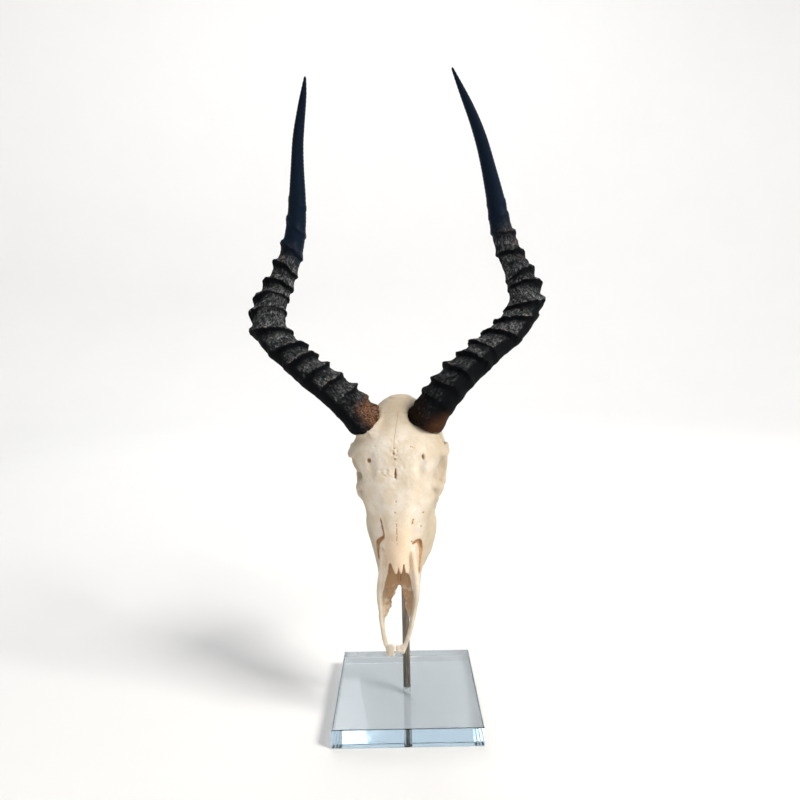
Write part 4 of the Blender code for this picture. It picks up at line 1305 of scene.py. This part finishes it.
def tooth_points(height, length, width):
    """A crown: its outline carried from the root to the worn edge, then a worn face that slopes across and
    sinks between the enamel ridges."""
    across, back = row_place(height)
    turn = turns(TOOTH_TURNS)
    rings = tooth_outline(turn, length, width)[None] * np.array(WALL_SCALES + TOP_SCALES)[:, None, None]
    wide, long = np.moveaxis(rings[len(WALL_LEVELS) :] / (width / 2, length / 2), -1, 0)
    # A molar's two lobes have a crescent each, and a premolar has one
    quarter = math.pi / 2
    molar = length > MOLAR_LENGTH
    lobes = np.cos(long * math.pi + quarter if molar else long * quarter) ** 2
    sunk = lobes * np.exp(-(((wide**2 - 0.10) / 0.09) ** 2))
    worn = TOOTH_HEIGHT - 0.6 - 1.3 * sunk + 0.56 * wide
    wall_levels = np.array(WALL_LEVELS)
    walls = wall_levels[:, None] + 0.35 * ease(4, 9, wall_levels)[:, None] * np.cos(turn)[None]
    levels = np.concatenate([walls, worn])
    depth = back + levels + ROW_SLOPE * rings[..., 1]
    rows = stacked(across + rings[..., 0], depth, height + rings[..., 1])
    dentine = np.concatenate([np.zeros_like(walls), np.clip(0.35 + sunk, 0, 1)])
    gum = ease(3.5, 0.2, levels)
    first = (across, back - TOOTH_ROOT, height)
    last = (across, back + TOOTH_HEIGHT - 0.9, height)
    return rows, first, last, dentine, gum


def make_tooth(side, number, finish):
    """The closed mesh of one tooth, mirrored on the left, with a faint unevenness of its own."""
    height, length, width = TOOTH_ROW[number - 1]
    rows, first, last, dentine, gum = tooth_points(height, length, width)
    # The rows run towards +Y with turns from +X to +Z, which face inwards until they are reversed
    rows = rows[:, ::-1]
    dentine, gum = dentine[:, ::-1], gum[:, ::-1]
    points, quads, triangles = closed_grid(rows, first, last)
    if side == "left":
        points = points * (-1, 1, 1)
        quads = quads[:, ::-1]
        triangles = triangles[:, ::-1]
    points = points + 0.10 * grain(points, 2.2, 40 + number)[:, None] * (1, 0.5, 1)
    numbers = {
        "dentine": np.concatenate([dentine.ravel(), [0, 0.6]]),
        "gum": np.concatenate([gum.ravel(), [1, 0]]),
    }
    node = f"tooth_{side}_{number}"
    new_piece(f"cheek_{node}", skull_to_world(points), quads, triangles, finish, node, numbers)


# The rod


def make_rod(look):
    """A drawn bar turned about the upright: a radius for each height, with small chamfers at its ends and the
    faint waviness of drawn stock."""
    low, high = ROD_LOW.z / MM, ROD_HIGH.z / MM
    inset, thinner = np.array(ROD_ENDS).T
    heights = np.concatenate([low + inset, np.linspace(low + 1, high - 1, ROD_ROWS), high - inset[::-1]])
    sizes = ROD_RADIUS / MM - np.concatenate([thinner, np.zeros(ROD_ROWS), thinner[::-1]])
    angles = turns(ROD_TURNS)
    wide = sizes[:, None] + 0.02 * grain(turned_profile(4, heights * 0.2, angles), 3, 50)
    rows = turned_profile(wide, heights, angles)
    points, quads, triangles = closed_grid(rows, (0, 0, low), (0, 0, high))
    new_piece("support_rod", points * MM, quads, triangles, steel_finish(look), "rod")


# Materials


class Number:
    """One number in a material. Plain arithmetic on it adds Math nodes."""

    def __init__(self, finish, socket):
        self.finish = finish
        self.socket = socket

    def math(self, operation, *others):
        made = self.finish.node("ShaderNodeMath", {"operation": operation}, dict(enumerate((self, *others))))
        return Number(self.finish, made.outputs[0])

    def __add__(self, other):
        return self.math("ADD", other)

    __radd__ = __add__

    def __mul__(self, other):
        return self.math("MULTIPLY", other)

    __rmul__ = __mul__

    def __sub__(self, other):
        return self.math("SUBTRACT", other)

    def __rsub__(self, other):
        made = self.finish.node("ShaderNodeMath", {"operation": "SUBTRACT"}, {0: other, 1: self})
        return Number(self.finish, made.outputs[0])

    def size(self):
        return self.math("ABSOLUTE")

    def most(self, other):
        return self.math("MAXIMUM", other)

    def ease(self, low, high, start=0.0, end=1.0):
        """Rises smoothly from start, where this number is low, to end, where it is high."""
        values = {"Value": self, "From Min": low, "From Max": high, "To Min": start, "To Max": end}
        made = self.finish.node("ShaderNodeMapRange", {"interpolation_type": "SMOOTHSTEP"}, values)
        return Number(self.finish, made.outputs["Result"])


class Finish:
    """A material under construction, with a Principled shader. Sizes in its patterns are millimetres."""

    def __init__(self, name):
        self.material = bpy.data.materials.new(name)
        self.material.use_nodes = True
        self.tree = self.material.node_tree
        self.shader = self.tree.nodes["Principled BSDF"]

    def node(self, kind, settings=None, values=None):
        """Adds a node: its settings first, then the values or links of its sockets."""
        made = self.tree.nodes.new(kind)
        for key, setting in (settings or {}).items():
            setattr(made, key, setting)
        for key, value in (values or {}).items():
            self.feed(made.inputs[key], value)
        return made

    def feed(self, socket, value):
        """Links a node's output to the socket, or sets the socket's own value."""
        value = value.socket if isinstance(value, Number) else value
        if isinstance(value, bpy.types.NodeSocket):
            self.tree.links.new(value, socket)
        else:
            socket.default_value = value

    def shade(self, **values):
        """Feeds the shader's own sockets, named with underscores for spaces."""
        for key, value in values.items():
            self.feed(self.shader.inputs[key.replace("_", " ")], value)

    def object_place(self, turn=0.0, shift=(0, 0, 0)):
        """Object coordinates in millimetres, in a frame that is shifted and turned about the upright."""
        source = self.node("ShaderNodeTexCoord").outputs["Object"]
        values = {"Vector": source, "Location": shift, "Rotation": (0, 0, turn), "Scale": (MM, MM, MM)}
        return self.node("ShaderNodeMapping", {"vector_type": "TEXTURE"}, values).outputs[0]

    def stretched(self, vector, scale):
        """The vector scaled along its axes: a pattern on it grows longer where the scale is small."""
        return self.node("ShaderNodeVectorMath", {"operation": "MULTIPLY"}, {0: vector, 1: scale}).outputs[0]

    def split(self, vector):
        """The three parts of a vector."""
        made = self.node("ShaderNodeSeparateXYZ", None, {0: vector})
        return [Number(self, socket) for socket in made.outputs]

    def number(self, key):
        """One of the piece's own numbers."""
        return Number(self, self.node("ShaderNodeAttribute", {"attribute_name": key}).outputs["Fac"])

    def vector(self, key):
        """One of the piece's own vectors."""
        return self.node("ShaderNodeAttribute", {"attribute_name": key}).outputs["Vector"]

    def noise(self, vector, size, detail=3.0, roughness=0.55):
        """Noise from about 0 to 1 with lumps of the size in millimetres."""
        values = {"Vector": vector, "Scale": 1 / size, "Detail": detail, "Roughness": roughness}
        return Number(self, self.node("ShaderNodeTexNoise", None, values).outputs[0])

    def cells(self, vector, size):
        """Distance to the nearest of scattered points, which lie about the size apart."""
        made = self.node("ShaderNodeTexVoronoi", None, {"Vector": vector, "Scale": 1 / size})
        return Number(self, made.outputs["Distance"])

    def mix(self, factor, first, second):
        """Goes from the first colour to the second as the factor rises."""
        values = {0: factor, 6: colour_of(first), 7: colour_of(second)}
        return self.node("ShaderNodeMix", {"data_type": "RGBA"}, values).outputs[2]

    def bump(self, height, distance, strength=1.0):
        """A normal from a height, whose whole range stands for the distance in millimetres."""
        values = {"Height": height, "Distance": distance * MM, "Strength": strength}
        return self.node("ShaderNodeBump", None, values).outputs[0]


def colour_of(value):
    """A colour as a Mix node takes it: a link as it is, or three numbers with an alpha of 1."""
    return value if isinstance(value, bpy.types.NodeSocket) else (*value, 1)


def seam(across, half_width):
    """1 on a line and 0 beyond its half width, for the distance from the line."""
    return 1 - across.size().ease(half_width * 0.35, half_width)


def suture_lines(finish, place, x, y, z):
    """Where two bones meet: a thin seam down the middle of the brow, dashes on the nose, and a faint seam
    across the crown. Each is a wavy line."""
    wobble = finish.noise(finish.stretched(place, (0.02, 0.02, 1)), 2.2, 2) - 0.5
    wide_wobble = finish.noise(finish.stretched(place, (1, 0.02, 1)), 6, 3) - 0.5
    breaks = finish.noise(finish.stretched(place, (0.02, 0.02, 1)), 3.4, 2)
    face = y.ease(-20, -30)
    lean = z.ease(303, 335, -1.4, 1.0)
    brow = seam(x - lean + 1.6 * wobble, 0.75) * face * z.ease(285, 292) * z.ease(338, 333) * 0.55
    nose = seam(x - 0.7 + 1.2 * wobble, 0.8) * y.ease(-50, -56) * z.ease(205, 210) * z.ease(234, 230)
    dashes = nose * breaks.ease(0.44, 0.52) * 0.9
    crown = seam(z - 335.5 + 6 * wide_wobble, 0.8) * y.ease(-5, -15) * wide_wobble.ease(-0.10, 0.10) * 0.5
    return brow.most(dashes).most(crown)


def bone_finish(look):
    """Dry bone: cream with warmer and greyer patches, darker down the sides as painted shade, peach on the
    nose, brown in the nose as stains and painted shade, brown stains with painted shade in hollows and
    creases, brown in the fissures, pits and seams, and fine pores."""
    finish = Finish("dry bone")
    place = finish.object_place(SKULL_TURN, (SKULL_SHIFT * MM, 0, 0))
    x, y, z = finish.split(place)
    near, wide = finish.number("near"), finish.number("wide")
    pit, slit, inner = finish.number("pit"), finish.number("slit"), finish.number("inner")
    patches = finish.noise(place, 16, 4)
    blotches = finish.noise(place, 5, 4, 0.65)
    specks = finish.noise(place, 0.9, 3, 0.7)
    colour = finish.mix(patches.ease(0.38, 0.62), look.bone_pale, look.bone_warm)
    colour = finish.mix(blotches.ease(0.5, 0.75) * 0.5, colour, look.bone_grey)
    # Painted shade: the bone turns duller and darker down the sides of the face
    side = y.ease(-58, -38) * (0.60 + 0.5 * patches)
    colour = finish.mix(side, colour, look.bone_side_shade)
    nose = z.ease(246, 200) * y.ease(-52, -60) * (0.55 + 0.5 * blotches)
    colour = finish.mix(nose, colour, look.bone_peach)
    # Brown in hollows and creases, by how closed in each point is: partly stains, partly painted shade; the     deepest hollows get darker brown as painted shade alone
    stained = (wide + 0.30 * (blotches - 0.5)).ease(0.57, 0.82)
    colour = finish.mix(stained * z.ease(322, 300, 0.25, 0.8), colour, look.stain_and_shade)
    creases = (near + 0.25 * (specks - 0.5)).ease(0.58, 0.80)
    colour = finish.mix(creases * 0.5, colour, look.stain_and_shade)
    deep = wide.ease(0.76, 0.96)
    colour = finish.mix(deep * 0.6, colour, look.deep_painted_shade)
    # Brown on the walls of the open nose: partly stains, partly painted shade of the hollow
    colour = finish.mix(inner * (0.85 + 0.3 * (blotches - 0.5)), colour, look.nose_brown_and_shade)
    # Painted light: low on the palate, patches keep the warm bone colour where light falls past the painted     shade of the nose
    palate_light_patches = finish.noise(place, 9, 2).ease(0.50, 0.57) * z.ease(156, 148)
    colour = finish.mix(inner * palate_light_patches * 0.75, colour, look.bone_warm)
    slit_tint = finish.mix(blotches.ease(0.40, 0.60), look.slit_brown, look.slit_pale)
    colour = finish.mix((slit + 0.5 * (blotches - 0.5)).ease(0.30, 0.85) * 0.92, colour, slit_tint)
    sutures = suture_lines(finish, place, x, y, z)
    colour = finish.mix(sutures * 0.8, colour, look.stain_and_shade)
    colour = finish.mix(pit.ease(0.2, 0.8) * 0.85, colour, look.stain_and_shade)
    pores = 1 - finish.cells(place, 1.9).ease(0.10, 0.26)
    porous = finish.noise(place, 7, 2).ease(0.48, 0.62)
    colour = finish.mix(pores * porous * 0.45, colour, look.stain_and_shade)
    colour = finish.mix(specks.ease(0.58, 0.74) * 0.22, colour, look.stain_and_shade)
    fine = finish.noise(place, 0.45, 4, 0.65)
    height = 0.5 * fine + 0.35 * specks - 0.6 * pores * porous - 0.7 * sutures
    finish.shade(
        Base_Color=colour,
        Roughness=(0.66 + 0.25 * (blotches - 0.5)),
        Normal=finish.bump(height, 0.28),
        Specular_IOR_Level=0.30,
    )
    return finish.material


def left_foot(finish, look, path, mottle, fine_pits, colour):
    """The left foot's brown, granular collar, whose edge slants: its cover, and the colour with it."""
    lateral, ahead, along = finish.split(path)
    edge = (along + 12 * (mottle - 0.5)).ease(27, 17)
    foot = edge * (12 * (mottle - 0.5) - 1.6 * lateral - 0.2 * ahead).ease(-15, 8)
    grains = 0.75 * finish.noise(path, 1.5, 5, 0.8) + 0.25 * mottle
    brown = finish.mix(grains.ease(0.42, 0.56), look.horn_foot_dark, look.horn_foot)
    # Fine pits, and darker towards the outer side as painted shade, like the horn's black outer side
    dark = fine_pits.most(lateral.ease(-6, 12) * 0.7)
    brown = finish.mix(dark * 0.8, brown, look.horn_foot_dark)
    specks = finish.noise(path, 1.1, 2, 0.6).ease(0.60, 0.68)
    brown = finish.mix(specks * 0.6, brown, look.horn_light)
    return foot, finish.mix(foot * 0.95, colour, brown)


def right_foot(finish, look, path, mottle, flecks, fine_pits, colour):
    """The right foot's darker collar, browner on its outer side: its cover, and the colour with it."""
    lateral, _, along = finish.split(path)
    foot = (along + 12 * (mottle - 0.5) - 0.75 * lateral.size()).ease(24, 4)
    brown = finish.mix(flecks.ease(0.56, 0.72) * 0.6, look.horn_foot_dark, look.horn_foot)
    brown = finish.mix(lateral.ease(-5, 9) * 0.85, brown, look.horn_foot_brown)
    brown = finish.mix(fine_pits * lateral.ease(4, -6) * 0.7, brown, look.horn_foot_dark)
    return foot, finish.mix(foot * 0.9, colour, brown)


def horn_finish(look, side):
    """Horn: mottled grey over the rings, in part painted light on the front, darker under each crest as
    painted shade, with worn pale brown edges; brown and granular at the foot, and smooth black with a painted
    blue sky reflection and a satin gloss above the rings."""
    finish = Finish(f"ringed horn {side}")
    path = finish.vector("straight")
    along = finish.split(path)[2]
    crest, ringed = finish.number("crest"), finish.number("ringed")
    facing, under = finish.number("facing"), finish.number("under")
    fibres = finish.noise(finish.stretched(path, (1, 1, 0.22)), 1.0, 4, 0.6)
    flecks = finish.noise(finish.stretched(path, (1, 1, 0.8)), 2.6, 4, 0.78)
    mottle = finish.noise(path, 6.5, 4, 0.62)
    # The grey comes in slowly above the foot
    rise = along.ease(8, 70, 0.45, 1.0) if side == "left" else along.ease(25, 120, 0.20, 1.0)
    # Painted shade under each crest, with mottle
    lit = (1 - 1.45 * under).most(0) * (0.20 + 0.80 * mottle.ease(0.36, 0.60))
    # Grey, dusty faces of the rings, which are also painted light and shade: grey on the lit front, black     under the crests
    dust_and_painted_light = ringed * facing.ease(0.25, 0.95) * lit * rise
    grey = finish.mix((0.6 * flecks + 0.4 * fibres).ease(0.40, 0.62), look.horn_black, look.horn_grey)
    colour = finish.mix(dust_and_painted_light, look.horn_black, grey)
    light = (flecks + 0.4 * (fibres - 0.5)).ease(0.56, 0.70) * dust_and_painted_light
    colour = finish.mix(light * 0.6, colour, look.horn_light)
    pits = 1 - finish.cells(finish.stretched(path, (1, 1, 0.8)), 3.1).ease(0.12, 0.34)
    pits = pits * mottle.ease(0.35, 0.6)
    colour = finish.mix(pits * ringed * 0.85, colour, look.horn_black)
    patchy = finish.noise(path, 11, 2).ease(0.50, 0.60) * finish.noise(path, 3, 2).ease(0.42, 0.56)
    worn = crest.ease(0.30, 0.95) * facing.ease(0.40, 0.85) * patchy * along.ease(45, 65)
    colour = finish.mix(worn * along.ease(185, 150, 0.15, 0.8), colour, look.horn_worn)
    reddish = finish.noise(path, 17, 2).ease(0.56, 0.70) * dust_and_painted_light * along.ease(190, 235) * 0.6
    colour = finish.mix(reddish, colour, look.horn_red)
    fine_pits = 1 - finish.cells(path, 1.7).ease(0.16, 0.42)
    if side == "left":
        foot, colour = left_foot(finish, look, path, mottle, fine_pits, colour)
    else:
        foot, colour = right_foot(finish, look, path, mottle, flecks, fine_pits, colour)
    # The smooth tip's blue is a painted reflection of a blue sky on black horn
    colour = finish.mix((1 - ringed) * 0.9, colour, look.horn_tip_and_sky_reflection)
    height = (0.10 + 0.90 * ringed) * (0.4 * fibres + 0.7 * flecks)
    finish.shade(
        Base_Color=colour,
        Roughness=0.36 + 0.34 * ringed + 0.12 * flecks + 0.10 * foot,
        Normal=finish.bump(height, 0.45),
        Specular_IOR_Level=0.05,
    )
    return finish.material


def enamel_finish(look):
    """Teeth: glossy ivory enamel, stained brown by the jaw and in its grooves, over duller brown dentine."""
    finish = Finish("tooth enamel")
    place = finish.object_place()
    dentine, gum = finish.number("dentine"), finish.number("gum")
    streaks = finish.noise(finish.stretched(place, (1, 0.25, 1)), 1.1, 4, 0.6)
    clouds = finish.noise(place, 4, 3)
    colour = finish.mix(clouds.ease(0.4, 0.65), look.enamel, look.bone_warm)
    colour = finish.mix((gum + 0.5 * (streaks - 0.5)).ease(0.25, 0.9) * 0.65, colour, look.stain_and_shade)
    colour = finish.mix((dentine + 0.4 * (streaks - 0.5)).ease(0.45, 0.85) * 0.8, colour, look.dentine)
    height = 0.6 * streaks + 0.4 * clouds
    finish.shade(
        Base_Color=colour,
        Roughness=0.28 + 0.35 * dentine + 0.15 * streaks,
        Normal=finish.bump(height, 0.12),
    )
    return finish.material


def steel_finish(look):
    """Drawn steel: fine lines along the rod, dull brownish patches and small dark spots."""
    finish = Finish("drawn steel")
    place = finish.object_place()
    lines = finish.noise(finish.stretched(place, (1, 1, 0.02)), 0.35, 3, 0.6)
    patches = finish.noise(finish.stretched(place, (1, 1, 0.4)), 7, 4, 0.6)
    spots = 1 - finish.cells(place, 2.6).ease(0.06, 0.16)
    colour = finish.mix(lines.ease(0.35, 0.65), look.steel_dark, look.steel_pale)
    colour = finish.mix(patches.ease(0.48, 0.68) * 0.55, colour, look.steel_brown)
    colour = finish.mix(spots * 0.5, colour, look.steel_dark)
    finish.shade(
        Base_Color=colour,
        Roughness=0.30 + 0.22 * patches + 0.12 * lines,
        Metallic=1.0,
        Normal=finish.bump(lines, 0.03),
    )
    return finish.material


def acrylic_finish(look):
    """Clear acrylic: plain transmission with a blue tint that grows with depth, partly its own tint and
    partly a painted stand-in for the sky it reflects, and hairline scratches and dust that dull its gloss a
    little."""
    finish = Finish("clear acrylic")
    place = finish.object_place()
    scratches = finish.noise(finish.stretched(place, (0.06, 1.4, 1)), 1.2, 2, 0.4).ease(0.62, 0.70)
    crossing = finish.noise(finish.stretched(place, (1.3, 0.08, 1)), 1.5, 2, 0.4).ease(0.64, 0.71)
    haze = finish.noise(place, 22, 3).ease(0.45, 0.75)
    dust = 1 - finish.cells(place, 4.5).ease(0.02, 0.05)
    marks = scratches.most(crossing)
    finish.shade(
        Base_Color=(*look.acrylic, 1),
        Roughness=0.008 + 0.020 * haze + 0.05 * marks + 0.10 * dust,
        Normal=finish.bump(marks + dust, 0.010, 0.5),
        IOR=ACRYLIC_IOR,
        Transmission_Weight=1.0,
    )
    # The blue tint with depth is partly the acrylic's own and partly a painted stand-in for reflected sky
    tint = {"Color": (*look.acrylic_depth_and_sky_tint, 1), "Density": ACRYLIC_DENSITY}
    depth = finish.node("ShaderNodeVolumeAbsorption", None, tint)
    output = finish.tree.nodes["Material Output"]
    finish.tree.links.new(depth.outputs[0], output.inputs["Volume"])
    return finish.material


def floor_finish(look):
    """A pale, matt floor with the faintest unevenness."""
    finish = Finish("pale floor")
    place = finish.object_place()
    clouds = finish.noise(place, 260, 3)
    shade = tuple(0.97 * part for part in look.floor)
    finish.shade(
        Base_Color=finish.mix(clouds, look.floor, shade),
        Roughness=0.75 + 0.1 * clouds,
        Specular_IOR_Level=0.2,
    )
    return finish.material


# Settings that a user may change


def colour_property(name, description, value):
    return FloatVectorProperty(
        name=name, description=description, subtype="COLOR", size=3, min=0, max=1, default=value
    )


def power_property(name, description, watts):
    return FloatProperty(name=name, description=description, subtype="POWER", min=0, default=watts)


def strength_property(name, description):
    return FloatProperty(name=name, description=description, subtype="FACTOR", min=0, max=2, default=1)


class SkullLook(bpy.types.PropertyGroup):
    """Sizes and colours of the bone, the horns, the teeth, the rod and the slab."""

    bone_relief: strength_property("Bone relief", "How strongly the bone's surface is uneven")
    ring_height: strength_property("Ring height", "How strongly the horns' rings stand out")
    bone_pale: colour_property("Pale bone", "Clean bone on the face", (0.80, 0.72, 0.615))
    bone_warm: colour_property("Warm bone", "Warmer patches of bone", (0.73, 0.62, 0.48))
    bone_grey: colour_property("Grey bone", "Greyer patches of bone", (0.60, 0.56, 0.50))
    # Painted shade down the sides of the face
    bone_side_shade: colour_property("Side bone", "Duller bone down the sides", (0.46, 0.38, 0.27))
    bone_peach: colour_property("Peach bone", "The nose's tint", (0.78, 0.585, 0.40))
    # Partly stains, partly painted shade inside the nose
    nose_brown_and_shade: colour_property("Nose brown", "Walls of the open nose", (0.52, 0.315, 0.16))
    slit_brown: colour_property("Slit brown", "Bottom of the fissures", (0.36, 0.175, 0.065))
    slit_pale: colour_property("Pale slit", "Paler stretches of the fissures", (0.50, 0.29, 0.135))
    # Brown stains, also laid in hollows and creases as painted shade
    stain_and_shade: colour_property("Stain", "Brown in hollows and creases", (0.40, 0.22, 0.10))
    # Painted shade deep in the hollows
    deep_painted_shade: colour_property("Deep stain", "Dark brown deep inside", (0.13, 0.065, 0.03))
    enamel: colour_property("Enamel", "Ivory of the teeth", (0.78, 0.70, 0.55))
    dentine: colour_property("Dentine", "Brown of the worn faces", (0.30, 0.17, 0.08))
    horn_black: colour_property("Horn", "Dark ground of the rings", (0.0024, 0.0030, 0.0040))
    horn_grey: colour_property("Horn grey", "Mottled face of the rings", (0.140, 0.146, 0.150))
    horn_light: colour_property("Horn specks", "Light specks on the rings", (0.35, 0.355, 0.355))
    horn_worn: colour_property("Worn crests", "Pale brown edge of the rings", (0.31, 0.24, 0.19))
    horn_red: colour_property("Reddish rings", "Brown tint on some rings", (0.09, 0.040, 0.022))
    horn_foot: colour_property("Horn foot", "Brown of the left foot's grains", (0.19, 0.088, 0.045))
    horn_foot_brown: colour_property("Brown foot", "Dark brown of the right foot", (0.070, 0.032, 0.015))
    horn_foot_dark: colour_property("Dark foot", "Dark specks of the feet", (0.011, 0.006, 0.004))
    # Black horn with a painted reflection of blue sky
    horn_tip_and_sky_reflection: colour_property("Horn tip", "Smooth blue-black above the rings", (0.0036, 0.0095, 0.021))
    steel_pale: colour_property("Pale steel", "Bright lines of the rod", (0.33, 0.29, 0.245))
    steel_dark: colour_property("Dark steel", "Dark lines and spots of the rod", (0.085, 0.07, 0.058))
    steel_brown: colour_property("Brown steel", "Dull patches of the rod", (0.17, 0.125, 0.09))
    acrylic: colour_property("Acrylic", "Clear acrylic at its surface", (0.97, 0.985, 1.0))
    # Partly the acrylic's own tint, partly a painted stand-in for reflected sky
    acrylic_depth_and_sky_tint: colour_property("Acrylic depth", "Tint that grows with depth", (0.65, 0.78, 0.86))


class StudioLook(bpy.types.PropertyGroup):
    """Lights and floor of the plain studio."""

    floor: colour_property("Floor", "Pale floor and backdrop", (0.82, 0.82, 0.82))
    key_power: power_property("Key light", "Soft light, upper right", 108)
    fill_power: power_property("Fill light", "Weak light, left", 2)
    back_power: power_property("Back light", "Weak light, behind", 16)
    wall_power: power_property("Wall light", "Light on the backdrop", 46)
    sky: FloatProperty(name="Surroundings", description="Even pale light all round", default=0.25, min=0)


# Steps


class SKULL_OT_bone(bpy.types.Operator):
    """Builds the bone as the surface of a field of distances"""

    bl_idname = "skull.bone"
    bl_label = "Skull bone"

    def execute(self, context):
        make_skull(context.scene.skull_look)
        return {"FINISHED"}


class SKULL_OT_horns(bpy.types.Operator):
    """Builds both ringed horn sheaths"""

    bl_idname = "skull.horns"
    bl_label = "Horns"

    def execute(self, context):
        look = context.scene.skull_look
        for side in HORN_PATHS:
            make_horn(side, look, horn_finish(look, side))
        return {"FINISHED"}


class SKULL_OT_teeth(bpy.types.Operator):
    """Builds the twelve cheek teeth"""

    bl_idname = "skull.teeth"
    bl_label = "Cheek teeth"

    def execute(self, context):
        finish = enamel_finish(context.scene.skull_look)
        for side in ("left", "right"):
            for number in range(1, len(TOOTH_ROW) + 1):
                make_tooth(side, number, finish)
        return {"FINISHED"}


class SKULL_OT_rod(bpy.types.Operator):
    """Builds the steel rod"""

    bl_idname = "skull.rod"
    bl_label = "Rod"

    def execute(self, context):
        make_rod(context.scene.skull_look)
        return {"FINISHED"}


class SKULL_OT_slab(bpy.types.Operator):
    """Gives the slab its clear acrylic"""

    bl_idname = "skull.slab"
    bl_label = "Acrylic slab"

    def execute(self, context):
        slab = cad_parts.get("base")
        if slab is None:
            raise RuntimeError("the packed model has no slab")
        finish = acrylic_finish(context.scene.skull_look)
        for spot in slab.material_slots:
            spot.material = finish
        return {"FINISHED"}


def soft_light(name, place, target, side, power, colour, mirrored):
    """A square lamp that faces a point. mirrored tells whether glossy faces show it."""
    lamp = bpy.data.lights.new(name, "AREA")
    lamp.shape = "SQUARE"
    lamp.size = side
    lamp.energy = power
    lamp.color = colour
    thing = bpy.data.objects.new(name, lamp)
    bpy.context.scene.collection.objects.link(thing)
    way = Vector(target) - Vector(place)
    thing.matrix_world = Matrix.Translation(place) @ way.to_track_quat("-Z", "Y").to_matrix().to_4x4()
    thing.visible_glossy = mirrored


def make_floor(look):
    """A round floor that curves up into a wall all round: a profile turned about the upright."""
    curve = np.linspace(0.15, math.pi / 2, FLOOR_ROWS)
    flat = np.linspace(0.05, FLOOR_FLAT, FLOOR_ROWS)
    reach = np.concatenate([flat, FLOOR_FLAT + FLOOR_CURVE * np.sin(curve), [FLOOR_FLAT + FLOOR_CURVE]])
    rise = np.concatenate([0 * flat, FLOOR_CURVE - FLOOR_CURVE * np.cos(curve), [WALL_HEIGHT]])
    angles = turns(72)
    rows = turned_profile(reach[:, None], rise, angles)
    # A little lower than the slab's underside, so that the two faces don't lie in one plane
    points = np.concatenate([rows.reshape(-1, 3), [(0, 0, 0)]]) + (0, 0, SLAB_LOW.z - FLOOR_GAP)
    quads = grid_faces(len(reach), len(angles))[:, ::-1]
    middle = pole_faces(0, len(angles), len(points) - 1, at_end=False)[:, ::-1]
    faces = quads.tolist() + middle.tolist()
    mesh = bpy.data.meshes.new("floor")
    mesh.from_pydata(points.tolist(), [], faces)
    mesh.shade_smooth()
    mesh.materials.append(floor_finish(look))
    floor = bpy.data.objects.new("floor", mesh)
    bpy.context.scene.collection.objects.link(floor)


def make_camera():
    """The camera at the fitted place: pitched down, rolled and yawed a little."""
    pitch, roll, yaw = (math.radians(angle) for angle in (CAMERA_PITCH, CAMERA_ROLL, CAMERA_YAW))
    right = Vector((math.cos(yaw), math.sin(yaw), 0))
    level = Vector((-math.sin(yaw), math.cos(yaw), 0))
    above = Vector((0, 0, 1))
    forward = level * math.cos(pitch) - above * math.sin(pitch)
    up = level * math.sin(pitch) + above * math.cos(pitch)
    rolled_right = right * math.cos(roll) + up * math.sin(roll)
    rolled_up = up * math.cos(roll) - right * math.sin(roll)
    lens = bpy.data.cameras.new("photo camera")
    lens.lens = SENSOR_WIDTH * FOCAL_LENGTH / PICTURE_WIDTH
    lens.sensor_width = SENSOR_WIDTH
    camera = bpy.data.objects.new("photo camera", lens)
    turned = Matrix((rolled_right, rolled_up, -forward)).transposed().to_4x4()
    camera.matrix_world = Matrix.Translation(CAMERA_PLACE) @ turned
    bpy.context.scene.collection.objects.link(camera)
    bpy.context.scene.camera = camera


class SKULL_OT_studio(bpy.types.Operator):
    """Sets up the floor, the soft light and the camera"""

    bl_idname = "skull.studio"
    bl_label = "Studio and camera"

    def execute(self, context):
        look = context.scene.studio_look
        make_floor(look)
        for name, (place, target, side, power, colour, mirrored) in LIGHTS.items():
            soft_light(name, place, target, side, getattr(look, power), colour, mirrored)
        world = bpy.data.worlds.new("pale surroundings")
        world.use_nodes = True
        sky = world.node_tree.nodes["Background"]
        sky.inputs["Color"].default_value = SKY_COLOUR
        sky.inputs["Strength"].default_value = look.sky
        context.scene.world = world
        context.scene.view_settings.view_transform = "Standard"
        make_camera()
        return {"FINISHED"}


STEPS = (SKULL_OT_bone, SKULL_OT_horns, SKULL_OT_teeth, SKULL_OT_rod, SKULL_OT_slab, SKULL_OT_studio)


class SKULL_PT_steps(bpy.types.Panel):
    """Lists the steps that build the skull and the settings they use"""

    bl_label = "Mounted skull"
    bl_space_type = "VIEW_3D"
    bl_region_type = "UI"
    bl_category = "Skull"

    def draw(self, context):
        for step in STEPS:
            self.layout.operator(step.bl_idname)
        for settings in (context.scene.skull_look, context.scene.studio_look):
            for key in type(settings).__annotations__:
                self.layout.prop(settings, key)


CLASSES = (SkullLook, StudioLook, *STEPS, SKULL_PT_steps)


def register():
    for kind in CLASSES:
        bpy.utils.register_class(kind)
    bpy.types.Scene.skull_look = PointerProperty(type=SkullLook)
    bpy.types.Scene.studio_look = PointerProperty(type=StudioLook)


def unregister():
    del bpy.types.Scene.studio_look
    del bpy.types.Scene.skull_look
    for kind in reversed(CLASSES):
        bpy.utils.unregister_class(kind)


def main():
    register()
    bpy.ops.skull.bone()
    bpy.ops.skull.horns()
    bpy.ops.skull.teeth()
    bpy.ops.skull.rod()
    bpy.ops.skull.slab()
    bpy.ops.skull.studio()


if __name__ == "__main__":
    main()
